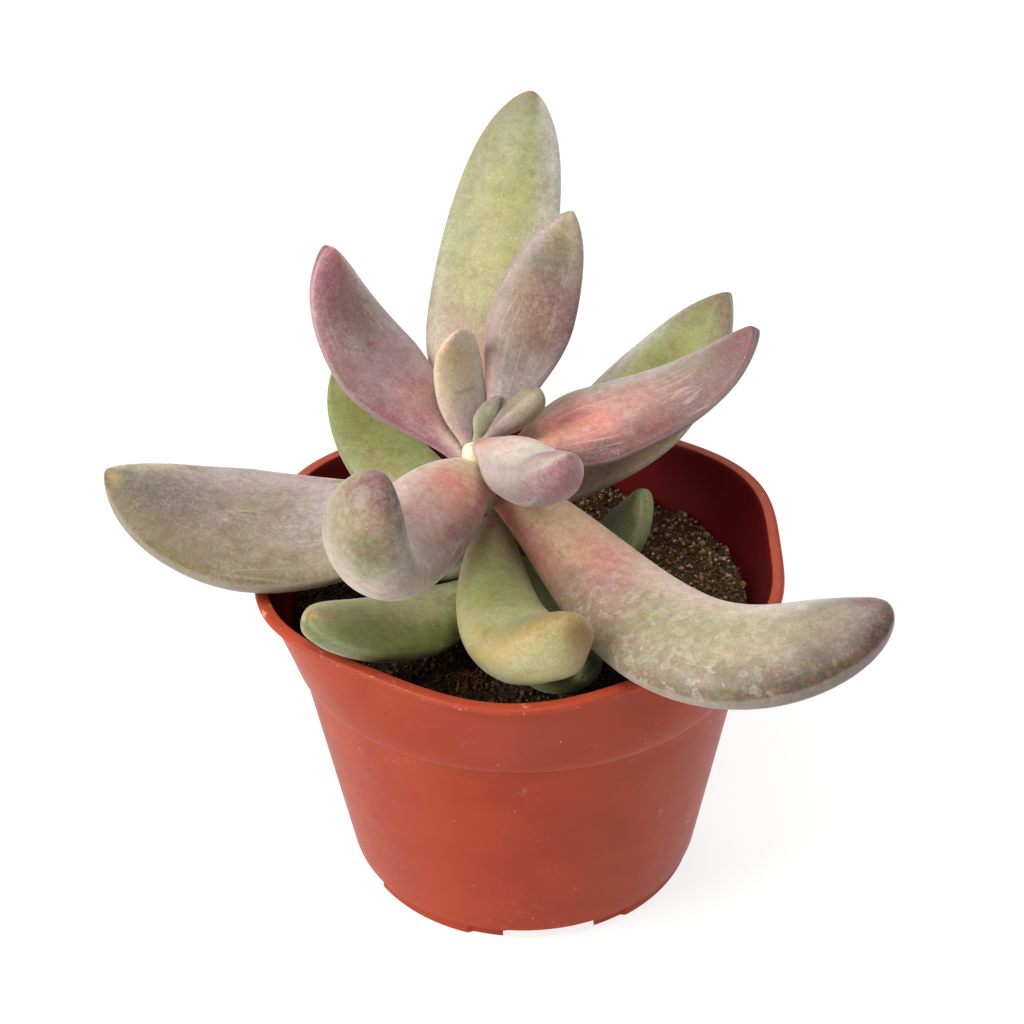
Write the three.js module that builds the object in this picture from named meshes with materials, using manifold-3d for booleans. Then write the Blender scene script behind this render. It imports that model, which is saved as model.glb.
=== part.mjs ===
// Potted ganzhou pachysedum: a loose, open succulent in a moulded nursery pot.
// Millimetres, +Z up. The pot's axis is X = Y = 0 while the pieces are made, and its foot stands at Z = 0.
import * as THREE from "three";
import { mergeVertices } from "three/addons/utils/BufferGeometryUtils.js";
import Module from "manifold-3d";

const wasm = await Module();
wasm.setup();

// Driving sizes of the pot
const FOOT_RADIUS = 33;
const FOOT_HEIGHT = 3;
const FOOT_INSET = 0.4;
const FOOT_RING = 1.5;
const MID_HEIGHT = 24;
const BODY_HEIGHT = 48;
const BODY_RADIUS = 41.4;
const COLLAR_LEDGE = 0.8;
const RIM_HEIGHT = 67;
const RIM_RADIUS = 48;
const LIP_WIDTH = 1.3;
const LIP_HEIGHT = 1.1;
const WALL = 0.9;
const FLOOR = 1;
const WALL_FOOT_RADIUS = 33.4;
const FLARE_BEND = 0.9;
const EDGE_ROUND = 0.3;
const FLOOR_CORNER = 1;
const DRAFT_STEP = 0.15;
const LOBES = 6;
const LOBE_DEPTH = 0.026;
const LOBE_ANGLE = THREE.MathUtils.degToRad(27);
const POT_SIDES = 48;

// The foot's four notches, and the thinner pads beside each
const NOTCHES = 4;
const NOTCH_ANGLE = -82.5;
const NOTCH_HALF = 15;
const PAD_HALF = 26;
const PAD_INSET = 0.5;
const PAD_HEIGHT = 2.4;
const DRAIN_RADIUS = 27;
const DRAIN_LENGTH = 12;
const DRAIN_WIDTH = 4;
const CUT_PAST = 1;

// Soil, grit and stem
const SOIL_HEIGHT = 55;
const SOIL_GAP = 0.3;
const CORNER = 1.5;
const SOIL_RINGS = 7;
const EDGE_DROP = 1;
const SOIL_LUMP = 0.45;
const SOIL_FALL = 0.012;
const GRIT_COUNT = 46;
const GRIT_SIZE = [0.7, 1.5];
const GRIT_SINK = 0.15;
const GRIT_SHAPE = [1, 0.8, 0.7];
const GRIT_FROM_STEM = 3;
const GRIT_FROM_LEAF = 2;
const GRIT_UNDER_LEAF = 3;
const STEM_FOOT = new THREE.Vector3(1, -3, 55);
const STEM_TOP = new THREE.Vector3(-8, -3, 88.5);
const STEM_ROOT_DEPTH = 22;
const STEM_SIDES = 12;
const STEM_RING_STEP = 3;
const STEM_CROWN = 0.5;
const STEM_TIP = 0.2;
const STEM_TIP_SHARE = 0.6;
const STEM_HOLE_RISE = 4;
const SCAR_DEPTH = 0.15;
const SEAT = 0.3;

// Leaf mesh
const LEAF_SIDES = 12;
const LEAF_RINGS = 14;
const LEAF_UPPER = 0.42;
const LEAF_BASE_THICK = 0.45;
const TIP_CROWDING = 1.6;
// A leaf tapers as if it went on to a point, but stops at this share of the way under a round cap.
const TIP_KEPT = 0.93;
const TIP_CAP = 9;
const FULL_FROM = 0.6;
const AXIS_STEPS = 200;

// How each leaf grew. height: where it leaves the stem (mm above the surface the pot stands on).
// azimuth: the side of the stem it leaves (degrees, 0 to the right, 90 to the back). rise: how steeply it
// climbs at its base and at its tip, late giving how much of that change is kept for the outer part, and
// dip a sag in the middle. turn: how far it bends sideways by its tip, turnLate likewise, and sway a swing
// in the middle. roll: its twist at base and tip. widest: where along the length, 0 to 1. base: the base's
// width against the widest. shoulder: how slowly it widens. tip: how blunt and how round its end is.
// full: how much longer its tip stays thick than it stays wide, 0 for not at all.
const LEAVES = [
  {
    name: "leaf_back_tall", colour: "green", height: 81.5, azimuth: 93.5, full: 0,
    length: 71.5, width: 22, thick: 7.6, widest: 0.37, base: 0.28, shoulder: 1.4, tip: [2.1, 0.49],
    rise: [40, 53], late: 1.25, dip: -3, turn: -16, turnLate: 1.4, sway: -6, roll: [-5, 10],
  },
  {
    name: "leaf_back_inner", colour: "mauve", height: 85.6, azimuth: 57.5, full: 0.6,
    length: 44, width: 15.2, thick: 5.6, widest: 0.55, base: 0.2, shoulder: 1.85, tip: [1.6, 0.65],
    rise: [50, 68], late: 1.3, dip: -4.5, turn: -16, turnLate: 1.6, sway: 1, roll: [14, 23],
  },
  {
    name: "leaf_upper_left", colour: "mauve", height: 85.1, azimuth: 144, full: 0.6,
    length: 45, width: 19, thick: 6.4, widest: 0.49, base: 0.2, shoulder: 1.5, tip: [1.4, 0.59],
    rise: [38, 94], late: 2.55, dip: 8.5, turn: -5, turnLate: 1.4, sway: 0, roll: [-6, 0],
  },
  {
    name: "leaf_young_back", colour: "pale", height: 87.5, azimuth: 104, full: 0,
    length: 22, width: 10.2, thick: 4.2, widest: 0.41, base: 0.38, shoulder: 0.85, tip: [2.7, 0.67],
    rise: [42, 119], late: 1.3, dip: -2, turn: -5, turnLate: 1.5, sway: 4.5, roll: [27, 20],
  },
  {
    name: "leaf_young_right", colour: "pale", height: 88.8, azimuth: 22.5, full: 0,
    length: 13, width: 5.4, thick: 5.4, widest: 0.61, base: 0.28, shoulder: 1.7, tip: [3, 0.53],
    rise: [43, 38], late: 1.4, dip: 4, turn: 1, turnLate: 1.4, sway: -4.5, roll: [3, -11],
  },
  {
    name: "leaf_right_pink", colour: "pink", height: 83.5, azimuth: 21.5, full: 0.6,
    length: 52, width: 21.8, thick: 6.4, widest: 0.36, base: 0.2, shoulder: 1.5, tip: [1.6, 0.63],
    rise: [21, 59], late: 2.35, dip: 15, turn: -6, turnLate: 1.4, sway: -3, roll: [8, -4],
  },
  {
    name: "leaf_right_behind", colour: "green", height: 73.7, azimuth: 45, full: 0.6,
    length: 59, width: 22.2, thick: 8.9, widest: 0.53, base: 0.39, shoulder: 1.25, tip: [1.6, 0.79],
    rise: [8, 69], late: 1.4, dip: 2, turn: -16, turnLate: 1.3, sway: -3.5, roll: [-2, 7],
  },
  {
    name: "leaf_young_front", colour: "pale", height: 88.9, azimuth: -49.5, full: 0,
    length: 34.6, width: 12.6, thick: 9.8, widest: 0.43, base: 0.22, shoulder: 0.95, tip: [3.3, 0.61],
    rise: [16.5, 60], late: 1.8, dip: 9.3, turn: 5, turnLate: 1, sway: -21.5, roll: [19, -21],
  },
  {
    name: "leaf_left_long", colour: "mauve", height: 77, azimuth: 185, full: 0,
    length: 66, width: 28.4, thick: 10.6, widest: 0.59, base: 0.4, shoulder: 1.15, tip: [1.6, 0.67],
    rise: [-11, 44], late: 1.6, dip: 2.5, turn: -12, turnLate: 1.4, sway: 3, roll: [-6, -18],
  },
  {
    name: "leaf_left_behind", colour: "green", height: 70.9, azimuth: 134.5, full: 0,
    length: 47, width: 15.4, thick: 6.4, widest: 0.46, base: 0.41, shoulder: 1.25, tip: [1.9, 0.87],
    rise: [-14, 75], late: 1.15, dip: 1.5, turn: 2, turnLate: 1.4, sway: 2, roll: [-12, -24],
  },
  {
    name: "leaf_curled_up", colour: "pink", height: 84.5, azimuth: -115, full: 0,
    length: 62.5, width: 17, thick: 11.8, widest: 0.36, base: 0.38, shoulder: 0.6, tip: [4.2, 0.31],
    rise: [10, 116], late: 2.45, dip: 11, turn: 14, turnLate: 1.8, sway: 4, roll: [-24, -24],
  },
  {
    name: "leaf_front_long", colour: "pink", height: 81.4, azimuth: -36.5, full: 0,
    length: 82.5, width: 19.2, thick: 10.2, widest: 0.54, base: 0.45, shoulder: 0.95, tip: [4.3, 0.58],
    rise: [-24, 37], late: 1, dip: 3.5, turn: 89, turnLate: 2.1, sway: -36, roll: [16, 24],
  },
  {
    name: "leaf_curled_aside", colour: "green", height: 75, azimuth: -93.5, full: 0,
    length: 45, width: 15.8, thick: 11.4, widest: 0.73, base: 0.28, shoulder: 0.75, tip: [2.7, 0.51],
    rise: [-12, 108], late: 3, dip: 6, turn: 92, turnLate: 2.9, sway: 5, roll: [-15, 21],
  },
  {
    name: "leaf_low_left", colour: "green", height: 63.8, azimuth: -133, full: 0.4,
    length: 45.5, width: 15.6, thick: 7.7, widest: 0.55, base: 0.22, shoulder: 1.25, tip: [2.6, 0.42],
    rise: [-12, 35], late: 0.95, dip: -4.5, turn: -15, turnLate: 1.7, sway: 3.5, roll: [-16, -9],
  },
  {
    name: "leaf_low_right", colour: "dark", height: 67.8, azimuth: 2.5, full: 0.6,
    length: 27, width: 15.6, thick: 6.6, widest: 0.6, base: 0.44, shoulder: 1.15, tip: [1.8, 1.06],
    rise: [-62, 87], late: 0.7, dip: -4.5, turn: 2, turnLate: 1.4, sway: 0, roll: [-1, 1],
  },
  {
    name: "leaf_low_front", colour: "dark", height: 66.6, azimuth: -74, full: 0,
    length: 33.5, width: 15.6, thick: 8.4, widest: 0.48, base: 0.4, shoulder: 1, tip: [2.9, 0.71],
    rise: [-24, 27], late: 1.4, dip: 1, turn: 2, turnLate: 1.4, sway: 1.5, roll: [0, 9],
  },
  {
    name: "leaf_low_hidden", colour: "green", height: 66.5, azimuth: -175.5, full: 0,
    length: 12.5, width: 10.4, thick: 6.3, widest: 0.58, base: 0.38, shoulder: 1.2, tip: [2.4, 0.6],
    rise: [-8, 2], late: 1.4, dip: -0.5, turn: 2, turnLate: 1.4, sway: -0.5, roll: [-3, 8],
  },
  {
    name: "leaf_bud", colour: "pale", height: 88.8, azimuth: 64, full: 0,
    length: 8.5, width: 4, thick: 2.2, widest: 0.4, base: 0.46, shoulder: 1.45, tip: [1.6, 0.8],
    rise: [52, 37], late: 1.35, dip: 2, turn: -22, turnLate: 1.3, sway: -1, roll: [50, 14],
  },
];

const COLOURS = {
  plastic: "#b54a35",
  soil: "#2b2119",
  stem: "#9aa364",
  green: "#8fa25c",
  pink: "#c08a86",
  mauve: "#a58a8f",
  pale: "#b9c0a4",
  dark: "#5e7a3d",
};

const ROUGHNESS = { plastic: 0.45, soil: 0.95, stem: 0.6, leaf: 0.55 };

function material(colour, kind) {
  const finish = { color: COLOURS[colour], roughness: ROUGHNESS[kind], metalness: 0 };
  return new THREE.MeshStandardMaterial(finish);
}

// A solid from a grid of rings: rings[i][j] is a point, and every ring runs the same way round.
// A ring of one point is a pole; an open end is closed by a fan round its middle.
function ringsGeometry(rings) {
  const points = [];
  const faces = [];
  const starts = rings.map((ring) => {
    const start = points.length;
    points.push(...ring);
    return start;
  });
  for (let i = 0; i + 1 < rings.length; i++) {
    joinRings(faces, starts[i], rings[i].length, starts[i + 1], rings[i + 1].length);
  }
  closeEnd(points, faces, starts[0], rings[0], false);
  closeEnd(points, faces, starts.at(-1), rings.at(-1), true);
  return solidGeometry(points, faces);
}

function joinRings(faces, a, countA, b, countB) {
  const count = Math.max(countA, countB);
  for (let j = 0; j < count; j++) {
    const k = (j + 1) % count;
    if (countB === 1) {
      faces.push([a + j, a + k, b]);
    } else if (countA === 1) {
      faces.push([a, b + k, b + j]);
    } else {
      faces.push([a + j, a + k, b + k], [a + j, b + k, b + j]);
    }
  }
}

function closeEnd(points, faces, start, ring, far) {
  if (ring.length === 1) return;
  const middle = points.length;
  const sum = ring.reduce((total, point) => total.add(point), new THREE.Vector3());
  points.push(sum.divideScalar(ring.length));
  for (let j = 0; j < ring.length; j++) {
    const k = (j + 1) % ring.length;
    faces.push(far ? [start + j, start + k, middle] : [start + k, start + j, middle]);
  }
}

// Points and triangles as a geometry whose faces point outwards, whichever way its rings ran.
function solidGeometry(points, faces) {
  let volume = 0;
  for (const [a, b, c] of faces) {
    volume += points[a].dot(new THREE.Vector3().crossVectors(points[b], points[c]));
  }
  const index = volume < 0 ? faces.flatMap(([a, b, c]) => [a, c, b]) : faces.flat();
  const geometry = new THREE.BufferGeometry();
  geometry.setAttribute("position", new THREE.Float32BufferAttribute(points.flatMap((p) => p.toArray()), 3));
  geometry.setIndex(index);
  geometry.computeVertexNormals();
  return geometry;
}

// A three.js geometry as a manifold solid, and back
function toSolid(geometry) {
  const bare = geometry.clone();
  bare.deleteAttribute("normal");
  bare.deleteAttribute("uv");
  const merged = mergeVertices(bare, 1e-4);
  return new wasm.Manifold(new wasm.Mesh({
    numProp: 3,
    vertProperties: new Float32Array(merged.attributes.position.array),
    triVerts: new Uint32Array(merged.index.array),
  }));
}

function toGeometry(solid) {
  const mesh = solid.getMesh();
  const geometry = new THREE.BufferGeometry();
  geometry.setAttribute("position", new THREE.BufferAttribute(new Float32Array(mesh.vertProperties), 3));
  geometry.setIndex(new THREE.BufferAttribute(new Uint32Array(mesh.triVerts), 1));
  geometry.computeVertexNormals();
  return geometry;
}

// Pot walls. How much of the six-lobed rim shows at a height: none at the collar's foot, all at the rim
function lobeShare(z) {
  return THREE.MathUtils.smoothstep(z, BODY_HEIGHT + 1, RIM_HEIGHT);
}

function lobed(radius, z, angle) {
  return radius * (1 + LOBE_DEPTH * lobeShare(z) * Math.cos(LOBES * (angle - LOBE_ANGLE)));
}

// The wall's outer face: a straight taper to the collar, a small ledge, then a flare to the rim
function outerRadius(z) {
  if (z < BODY_HEIGHT) return THREE.MathUtils.mapLinear(z, 0, BODY_HEIGHT, WALL_FOOT_RADIUS, BODY_RADIUS);
  const flare = (z - BODY_HEIGHT) / (RIM_HEIGHT - BODY_HEIGHT);
  return THREE.MathUtils.lerp(BODY_RADIUS + COLLAR_LEDGE, RIM_RADIUS - LIP_WIDTH, flare ** FLARE_BEND);
}

function innerRadius(z) {
  return outerRadius(z) - WALL - (z < BODY_HEIGHT ? 0 : COLLAR_LEDGE * (1 - lobeShare(z)));
}

// The collar's heights, from its foot to just below the lip; wall and soil share them, so they stay parallel
const COLLAR_HEIGHTS = [BODY_HEIGHT, 51, 54, 57, 60, 63];

function potProfile() {
  const foot = FOOT_RADIUS - FOOT_INSET;
  const lipTop = RIM_HEIGHT;
  const lipFoot = RIM_HEIGHT - LIP_HEIGHT;
  const floor = FOOT_HEIGHT + FLOOR;
  const collar = COLLAR_HEIGHTS.slice(1);
  return [
    [0, FOOT_HEIGHT],
    [foot - FOOT_RING, FOOT_HEIGHT],
    [foot - FOOT_RING, 0],
    [foot, 0],
    [foot, FOOT_HEIGHT - DRAFT_STEP],
    [outerRadius(FOOT_HEIGHT), FOOT_HEIGHT + DRAFT_STEP],
    [outerRadius(MID_HEIGHT), MID_HEIGHT],
    [outerRadius(BODY_HEIGHT - DRAFT_STEP), BODY_HEIGHT - DRAFT_STEP],
    [outerRadius(BODY_HEIGHT + 2 * EDGE_ROUND), BODY_HEIGHT + 2 * EDGE_ROUND],
    ...collar.map((z) => [outerRadius(z), z]),
    [outerRadius(lipFoot) - DRAFT_STEP, lipFoot - DRAFT_STEP],
    [RIM_RADIUS - EDGE_ROUND, lipFoot],
    [RIM_RADIUS, lipFoot + EDGE_ROUND],
    [RIM_RADIUS - DRAFT_STEP, lipTop - EDGE_ROUND],
    [RIM_RADIUS - 2 * EDGE_ROUND, lipTop],
    [innerRadius(lipTop) + EDGE_ROUND, lipTop],
    [innerRadius(lipTop), lipTop - EDGE_ROUND],
    ...COLLAR_HEIGHTS.map((z) => [innerRadius(z), z]).reverse(),
    [innerRadius(MID_HEIGHT), MID_HEIGHT],
    [innerRadius(floor + FLOOR_CORNER), floor + FLOOR_CORNER],
    [innerRadius(floor + FLOOR_CORNER) - FLOOR_CORNER, floor],
    [0, floor],
  ];
}

function turnedRing(radius, z, sides, shape) {
  return Array.from({ length: sides }, (_, j) => {
    const angle = (2 * Math.PI * j) / sides;
    const r = shape ? shape(radius, z, angle) : radius;
    return new THREE.Vector3(r * Math.cos(angle), r * Math.sin(angle), z);
  });
}

function turned(profile, sides, shape) {
  return ringsGeometry(profile.map(([radius, z]) => (
    radius === 0 ? [new THREE.Vector3(0, 0, z)] : turnedRing(radius, z, sides, shape)
  )));
}

// A block bounded by two radii and two angles, for notches, pads and drainage slots
function sectorSolid(inner, outer, fromDegrees, toDegrees, bottom, top) {
  const from = THREE.MathUtils.degToRad(fromDegrees);
  const to = THREE.MathUtils.degToRad(toDegrees);
  const shape = new THREE.Shape();
  shape.absarc(0, 0, outer, from, to, false);
  shape.absarc(0, 0, inner, to, from, true);
  const sweep = { depth: top - bottom, bevelEnabled: false, curveSegments: 8 };
  const block = new THREE.ExtrudeGeometry(shape, sweep);
  return toSolid(block.translate(0, 0, bottom));
}

function potGeometry() {
  let pot = toSolid(turned(potProfile(), POT_SIDES, lobed));
  const foot = FOOT_RADIUS - FOOT_INSET;
  const drainHalf = THREE.MathUtils.radToDeg(DRAIN_LENGTH / 2 / DRAIN_RADIUS);
  for (let n = 0; n < NOTCHES; n++) {
    const middle = NOTCH_ANGLE + (360 / NOTCHES) * n;
    const notch = [middle - NOTCH_HALF, middle + NOTCH_HALF];
    const ring = [foot - FOOT_RING - CUT_PAST, foot + CUT_PAST];
    pot = pot.subtract(sectorSolid(...ring, ...notch, -CUT_PAST, FOOT_HEIGHT - DRAFT_STEP));
    for (const side of [-1, 1]) {
      const pad = [middle + side * (NOTCH_HALF - CUT_PAST), middle + side * PAD_HALF].sort((a, b) => a - b);
      pot = pot.subtract(sectorSolid(foot - PAD_INSET, foot + CUT_PAST, ...pad, -CUT_PAST, PAD_HEIGHT));
    }
    const drain = [DRAIN_RADIUS - DRAIN_WIDTH / 2, DRAIN_RADIUS + DRAIN_WIDTH / 2];
    const slot = [middle - drainHalf, middle + drainHalf];
    pot = pot.subtract(sectorSolid(...drain, ...slot, CUT_PAST, FOOT_HEIGHT + FLOOR + CUT_PAST));
  }
  return toGeometry(pot);
}

// Stem: its middle and radius at a height. It leans in a straight line and thins to the growing point
const STEM_HEIGHTS = [30, 55, 84, 88.5];
const STEM_RADII = [3.2, 3.7, 3, 1.6];

function stemCentre(z) {
  const share = (z - STEM_FOOT.z) / (STEM_TOP.z - STEM_FOOT.z);
  return new THREE.Vector3().lerpVectors(STEM_FOOT, STEM_TOP, share).setZ(z);
}

function stemRadius(z) {
  let k = 0;
  while (k < STEM_HEIGHTS.length - 2 && z > STEM_HEIGHTS[k + 1]) k++;
  const { mapLinear } = THREE.MathUtils;
  return mapLinear(z, STEM_HEIGHTS[k], STEM_HEIGHTS[k + 1], STEM_RADII[k], STEM_RADII[k + 1]);
}

function stemRing(z, radius) {
  const centre = stemCentre(z);
  return turnedRing(radius, 0, STEM_SIDES).map((point) => point.add(centre));
}

// The stem's skin: every second ring is an old leaf's scar, and those between are a little thinner
function stemGeometry() {
  const root = STEM_FOOT.z - STEM_ROOT_DEPTH;
  const count = Math.round((STEM_TOP.z - root) / STEM_RING_STEP);
  const rings = [[stemCentre(root)]];
  for (let i = 0; i < count; i++) {
    const z = root + i * STEM_RING_STEP;
    rings.push(stemRing(z, stemRadius(z) - (i % 2 === 0 ? 0 : SCAR_DEPTH)));
  }
  rings.push(stemRing(STEM_TOP.z, stemRadius(STEM_TOP.z)));
  rings.push(stemRing(STEM_TOP.z + STEM_CROWN, stemRadius(STEM_TOP.z) * STEM_TIP_SHARE));
  rings.push([stemCentre(STEM_TOP.z + STEM_CROWN + STEM_TIP)]);
  return ringsGeometry(rings);
}

// Soil: a plug that fills the pot, with a lumpy top, a plain hole for the stem and grit sunk in its surface
function soilTop(x, y) {
  const lumps = Math.sin(x * 0.21 + 1) * Math.cos(y * 0.24) + 0.6 * Math.sin(x * 0.47 - y * 0.39 + 2);
  return SOIL_HEIGHT - SOIL_FALL * y + SOIL_LUMP * lumps;
}

function soilShell() {
  const floor = FOOT_HEIGHT + FLOOR + SOIL_GAP;
  const walls = [floor + CORNER, MID_HEIGHT, ...COLLAR_HEIGHTS.filter((z) => z < SOIL_HEIGHT - EDGE_DROP)];
  const wallTop = walls.pop();
  const rings = [[new THREE.Vector3(0, 0, floor)]];
  rings.push(turnedRing(innerRadius(floor) - CORNER, floor, POT_SIDES, lobed));
  for (const z of walls) {
    rings.push(turnedRing(innerRadius(z) - SOIL_GAP, z, POT_SIDES, lobed));
  }
  for (let i = 0; i < SOIL_RINGS; i++) {
    const radius = (innerRadius(wallTop) - 2 * SOIL_GAP) * (1 - i / SOIL_RINGS);
    const ring = turnedRing(radius, wallTop, POT_SIDES, lobed);
    ring.forEach((point) => point.setZ(soilTop(point.x, point.y) - (i === 0 ? EDGE_DROP : 0)));
    rings.push(ring);
  }
  rings.push([new THREE.Vector3(0, 0, soilTop(0, 0))]);
  return toSolid(ringsGeometry(rings));
}

function stemHole() {
  const bottom = STEM_FOOT.z - STEM_ROOT_DEPTH - SEAT;
  const rings = [[stemCentre(bottom)]];
  for (const z of [bottom, STEM_FOOT.z, STEM_FOOT.z + STEM_HOLE_RISE]) {
    rings.push(stemRing(z, stemRadius(z) + SEAT));
  }
  rings.push([stemCentre(STEM_FOOT.z + STEM_HOLE_RISE)]);
  return toSolid(ringsGeometry(rings));
}

// Repeatable random numbers from 0 to 1
function seeded(seed) {
  let state = seed;
  return () => {
    state = (state + 0x6d2b79f5) | 0;
    let t = Math.imul(state ^ (state >>> 15), 1 | state);
    t = (t + Math.imul(t ^ (t >>> 7), 61 | t)) ^ t;
    return ((t ^ (t >>> 14)) >>> 0) / 4294967296;
  };
}

// Whether a leaf lies so low over a spot that a grain there could touch it
function underLeaf(x, y) {
  return LEAVES.some((leaf) => leafSections(leaf).some(({ centre, halfWidth, thick }) => (
    Math.hypot(centre.x - x, centre.y - y) < halfWidth + GRIT_FROM_LEAF
      && centre.z - thick < SOIL_HEIGHT + GRIT_UNDER_LEAF
  )));
}

function grains() {
  const random = seeded(11);
  const solids = [];
  while (solids.length < GRIT_COUNT) {
    const angle = random() * 2 * Math.PI;
    const reach = Math.sqrt(random()) * innerRadius(SOIL_HEIGHT) * (1 - 1 / SOIL_RINGS);
    const size = THREE.MathUtils.lerp(...GRIT_SIZE, random() ** 2);
    const turn = new THREE.Euler(random() * 3, random() * 3, random() * 3);
    const x = reach * Math.cos(angle);
    const y = reach * Math.sin(angle);
    const nearStem = Math.hypot(x - STEM_FOOT.x, y - STEM_FOOT.y) < stemRadius(STEM_FOOT.z) + GRIT_FROM_STEM;
    if (nearStem || underLeaf(x, y)) continue;
    const grain = new THREE.IcosahedronGeometry(size, 0).scale(...GRIT_SHAPE);
    grain.applyMatrix4(new THREE.Matrix4().makeRotationFromEuler(turn));
    solids.push(toSolid(grain.translate(x, y, soilTop(x, y) - size * GRIT_SINK)));
  }
  return solids;
}

function soilGeometry() {
  let soil = soilShell();
  for (const grain of grains()) {
    soil = soil.add(grain);
  }
  return toGeometry(soil.subtract(stemHole()));
}

// A leaf's width, 0 to 1, along its length
function leafWidth(t, leaf, base) {
  if (t < leaf.widest) {
    return base + (1 - base) * Math.sin((Math.PI / 2) * (t / leaf.widest)) ** leaf.shoulder;
  }
  const [blunt, round] = leaf.tip;
  const past = (t - leaf.widest) / (1 - leaf.widest);
  return (1 - (TIP_KEPT * past) ** blunt) ** round * Math.sqrt(1 - past ** TIP_CAP);
}

// A leaf's thickness, 0 to 1, along its length
function leafThickness(t, leaf) {
  const full = leaf.full * THREE.MathUtils.smoothstep(t, FULL_FROM, 1);
  return leafWidth(t, leaf, LEAF_BASE_THICK) ** (1 - full);
}

// The way a leaf points, and its side and upper directions, at a share t of its length
function leafDirections(leaf, t) {
  const azimuth = THREE.MathUtils.degToRad(leaf.azimuth);
  const [rise0, rise1] = leaf.rise;
  const climb = rise0 + (rise1 - rise0) * t ** leaf.late - leaf.dip * Math.sin(Math.PI * t);
  const rise = THREE.MathUtils.degToRad(climb);
  const turn = THREE.MathUtils.degToRad(leaf.turn * t ** leaf.turnLate + leaf.sway * Math.sin(Math.PI * t));
  const roll = THREE.MathUtils.degToRad(THREE.MathUtils.lerp(leaf.roll[0], leaf.roll[1], t));
  const out = new THREE.Vector3(Math.cos(azimuth), Math.sin(azimuth), 0);
  const left = new THREE.Vector3(-Math.sin(azimuth), Math.cos(azimuth), 0);
  const ahead = out.clone().multiplyScalar(Math.cos(rise)).setZ(Math.sin(rise));
  const upper = out.clone().multiplyScalar(-Math.sin(rise)).setZ(Math.cos(rise));
  const along = ahead.clone().multiplyScalar(Math.cos(turn)).addScaledVector(left, Math.sin(turn));
  const side = ahead.clone().multiplyScalar(-Math.sin(turn)).addScaledVector(left, Math.cos(turn));
  return {
    along,
    side: side.clone().multiplyScalar(Math.cos(roll)).addScaledVector(upper, Math.sin(roll)),
    upper: upper.clone().multiplyScalar(Math.cos(roll)).addScaledVector(side, -Math.sin(roll)),
  };
}

// Where the leaf starts: just off the stem, whatever the tilt of its base. Below a leaf that hangs on the
// side the stem leans away from, the stem stands further out, so that leaf starts further out by as much.
function leafFoot(leaf) {
  const azimuth = THREE.MathUtils.degToRad(leaf.azimuth);
  const rise = THREE.MathUtils.degToRad(leaf.rise[0]);
  const out = new THREE.Vector3(Math.cos(azimuth), Math.sin(azimuth), 0);
  const half = (rise > 0 ? LEAF_UPPER : 1 - LEAF_UPPER) * LEAF_BASE_THICK * leaf.thick;
  const centre = stemCentre(leaf.height);
  const lean = rise > 0 ? 0 : Math.max(0, stemCentre(leaf.height - half).sub(centre).dot(out));
  const reach = stemRadius(leaf.height) + SEAT + half * Math.abs(Math.sin(rise)) + lean;
  return centre.addScaledVector(out, reach);
}

function leafSections(leaf) {
  const axis = [leafFoot(leaf)];
  const step = leaf.length / AXIS_STEPS;
  for (let i = 0; i < AXIS_STEPS; i++) {
    const { along } = leafDirections(leaf, (i + 0.5) / AXIS_STEPS);
    axis.push(axis[i].clone().addScaledVector(along, step));
  }
  return Array.from({ length: LEAF_RINGS + 1 }, (_, i) => {
    const t = 1 - (1 - i / LEAF_RINGS) ** TIP_CROWDING;
    const place = t * AXIS_STEPS;
    const k = Math.min(Math.floor(place), AXIS_STEPS - 1);
    return {
      ...leafDirections(leaf, t),
      centre: axis[k].clone().lerp(axis[k + 1], place - k),
      halfWidth: (leaf.width / 2) * leafWidth(t, leaf, leaf.base),
      thick: leaf.thick * leafThickness(t, leaf),
    };
  });
}

function leafGeometry(leaf) {
  const rings = leafSections(leaf).map(({ centre, side, upper, halfWidth, thick }, i) => {
    if (i === LEAF_RINGS) return [centre];
    return Array.from({ length: LEAF_SIDES }, (_, j) => {
      const angle = (2 * Math.PI * j) / LEAF_SIDES;
      const height = Math.sin(angle) * thick * (Math.sin(angle) > 0 ? LEAF_UPPER : 1 - LEAF_UPPER);
      const aside = halfWidth * Math.cos(angle);
      return centre.clone().addScaledVector(side, aside).addScaledVector(upper, height);
    });
  });
  return ringsGeometry(rings);
}

function part(name, geometry, finish) {
  const mesh = new THREE.Mesh(geometry, finish);
  mesh.name = name;
  return mesh;
}

const plant = new THREE.Group();
plant.add(part("pot", potGeometry(), material("plastic", "plastic")));
plant.add(part("soil", soilGeometry(), material("soil", "soil")));
plant.add(part("stem", stemGeometry(), material("stem", "stem")));
for (const leaf of LEAVES) {
  plant.add(part(leaf.name, leafGeometry(leaf), material(leaf.colour, "leaf")));
}

// The origin is the middle of the whole part's footprint, on the surface that it stands on
const box = new THREE.Box3().setFromObject(plant);
const middle = box.getCenter(new THREE.Vector3());
plant.position.set(-middle.x, -middle.y, -box.min.z);

const object = new THREE.Group();
object.add(plant);
export default object;
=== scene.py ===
# %% [markdown]
# # A potted ganzhou pachysedum
# This lesson dresses a small succulent in its nursery pot. The CAD model gives every piece its place and
# size; here each leaf, the stem, the soil and the pot get their fine shape and their living, dusty colours.
# The first cell loads the CAD model and takes the pot's box, whose middle is the axis everything is placed
# round. Nothing made here may outgrow it.

# %% Load the CAD model
import math

import bpy
import numpy as np
from mathutils import Matrix, Vector, noise


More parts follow.
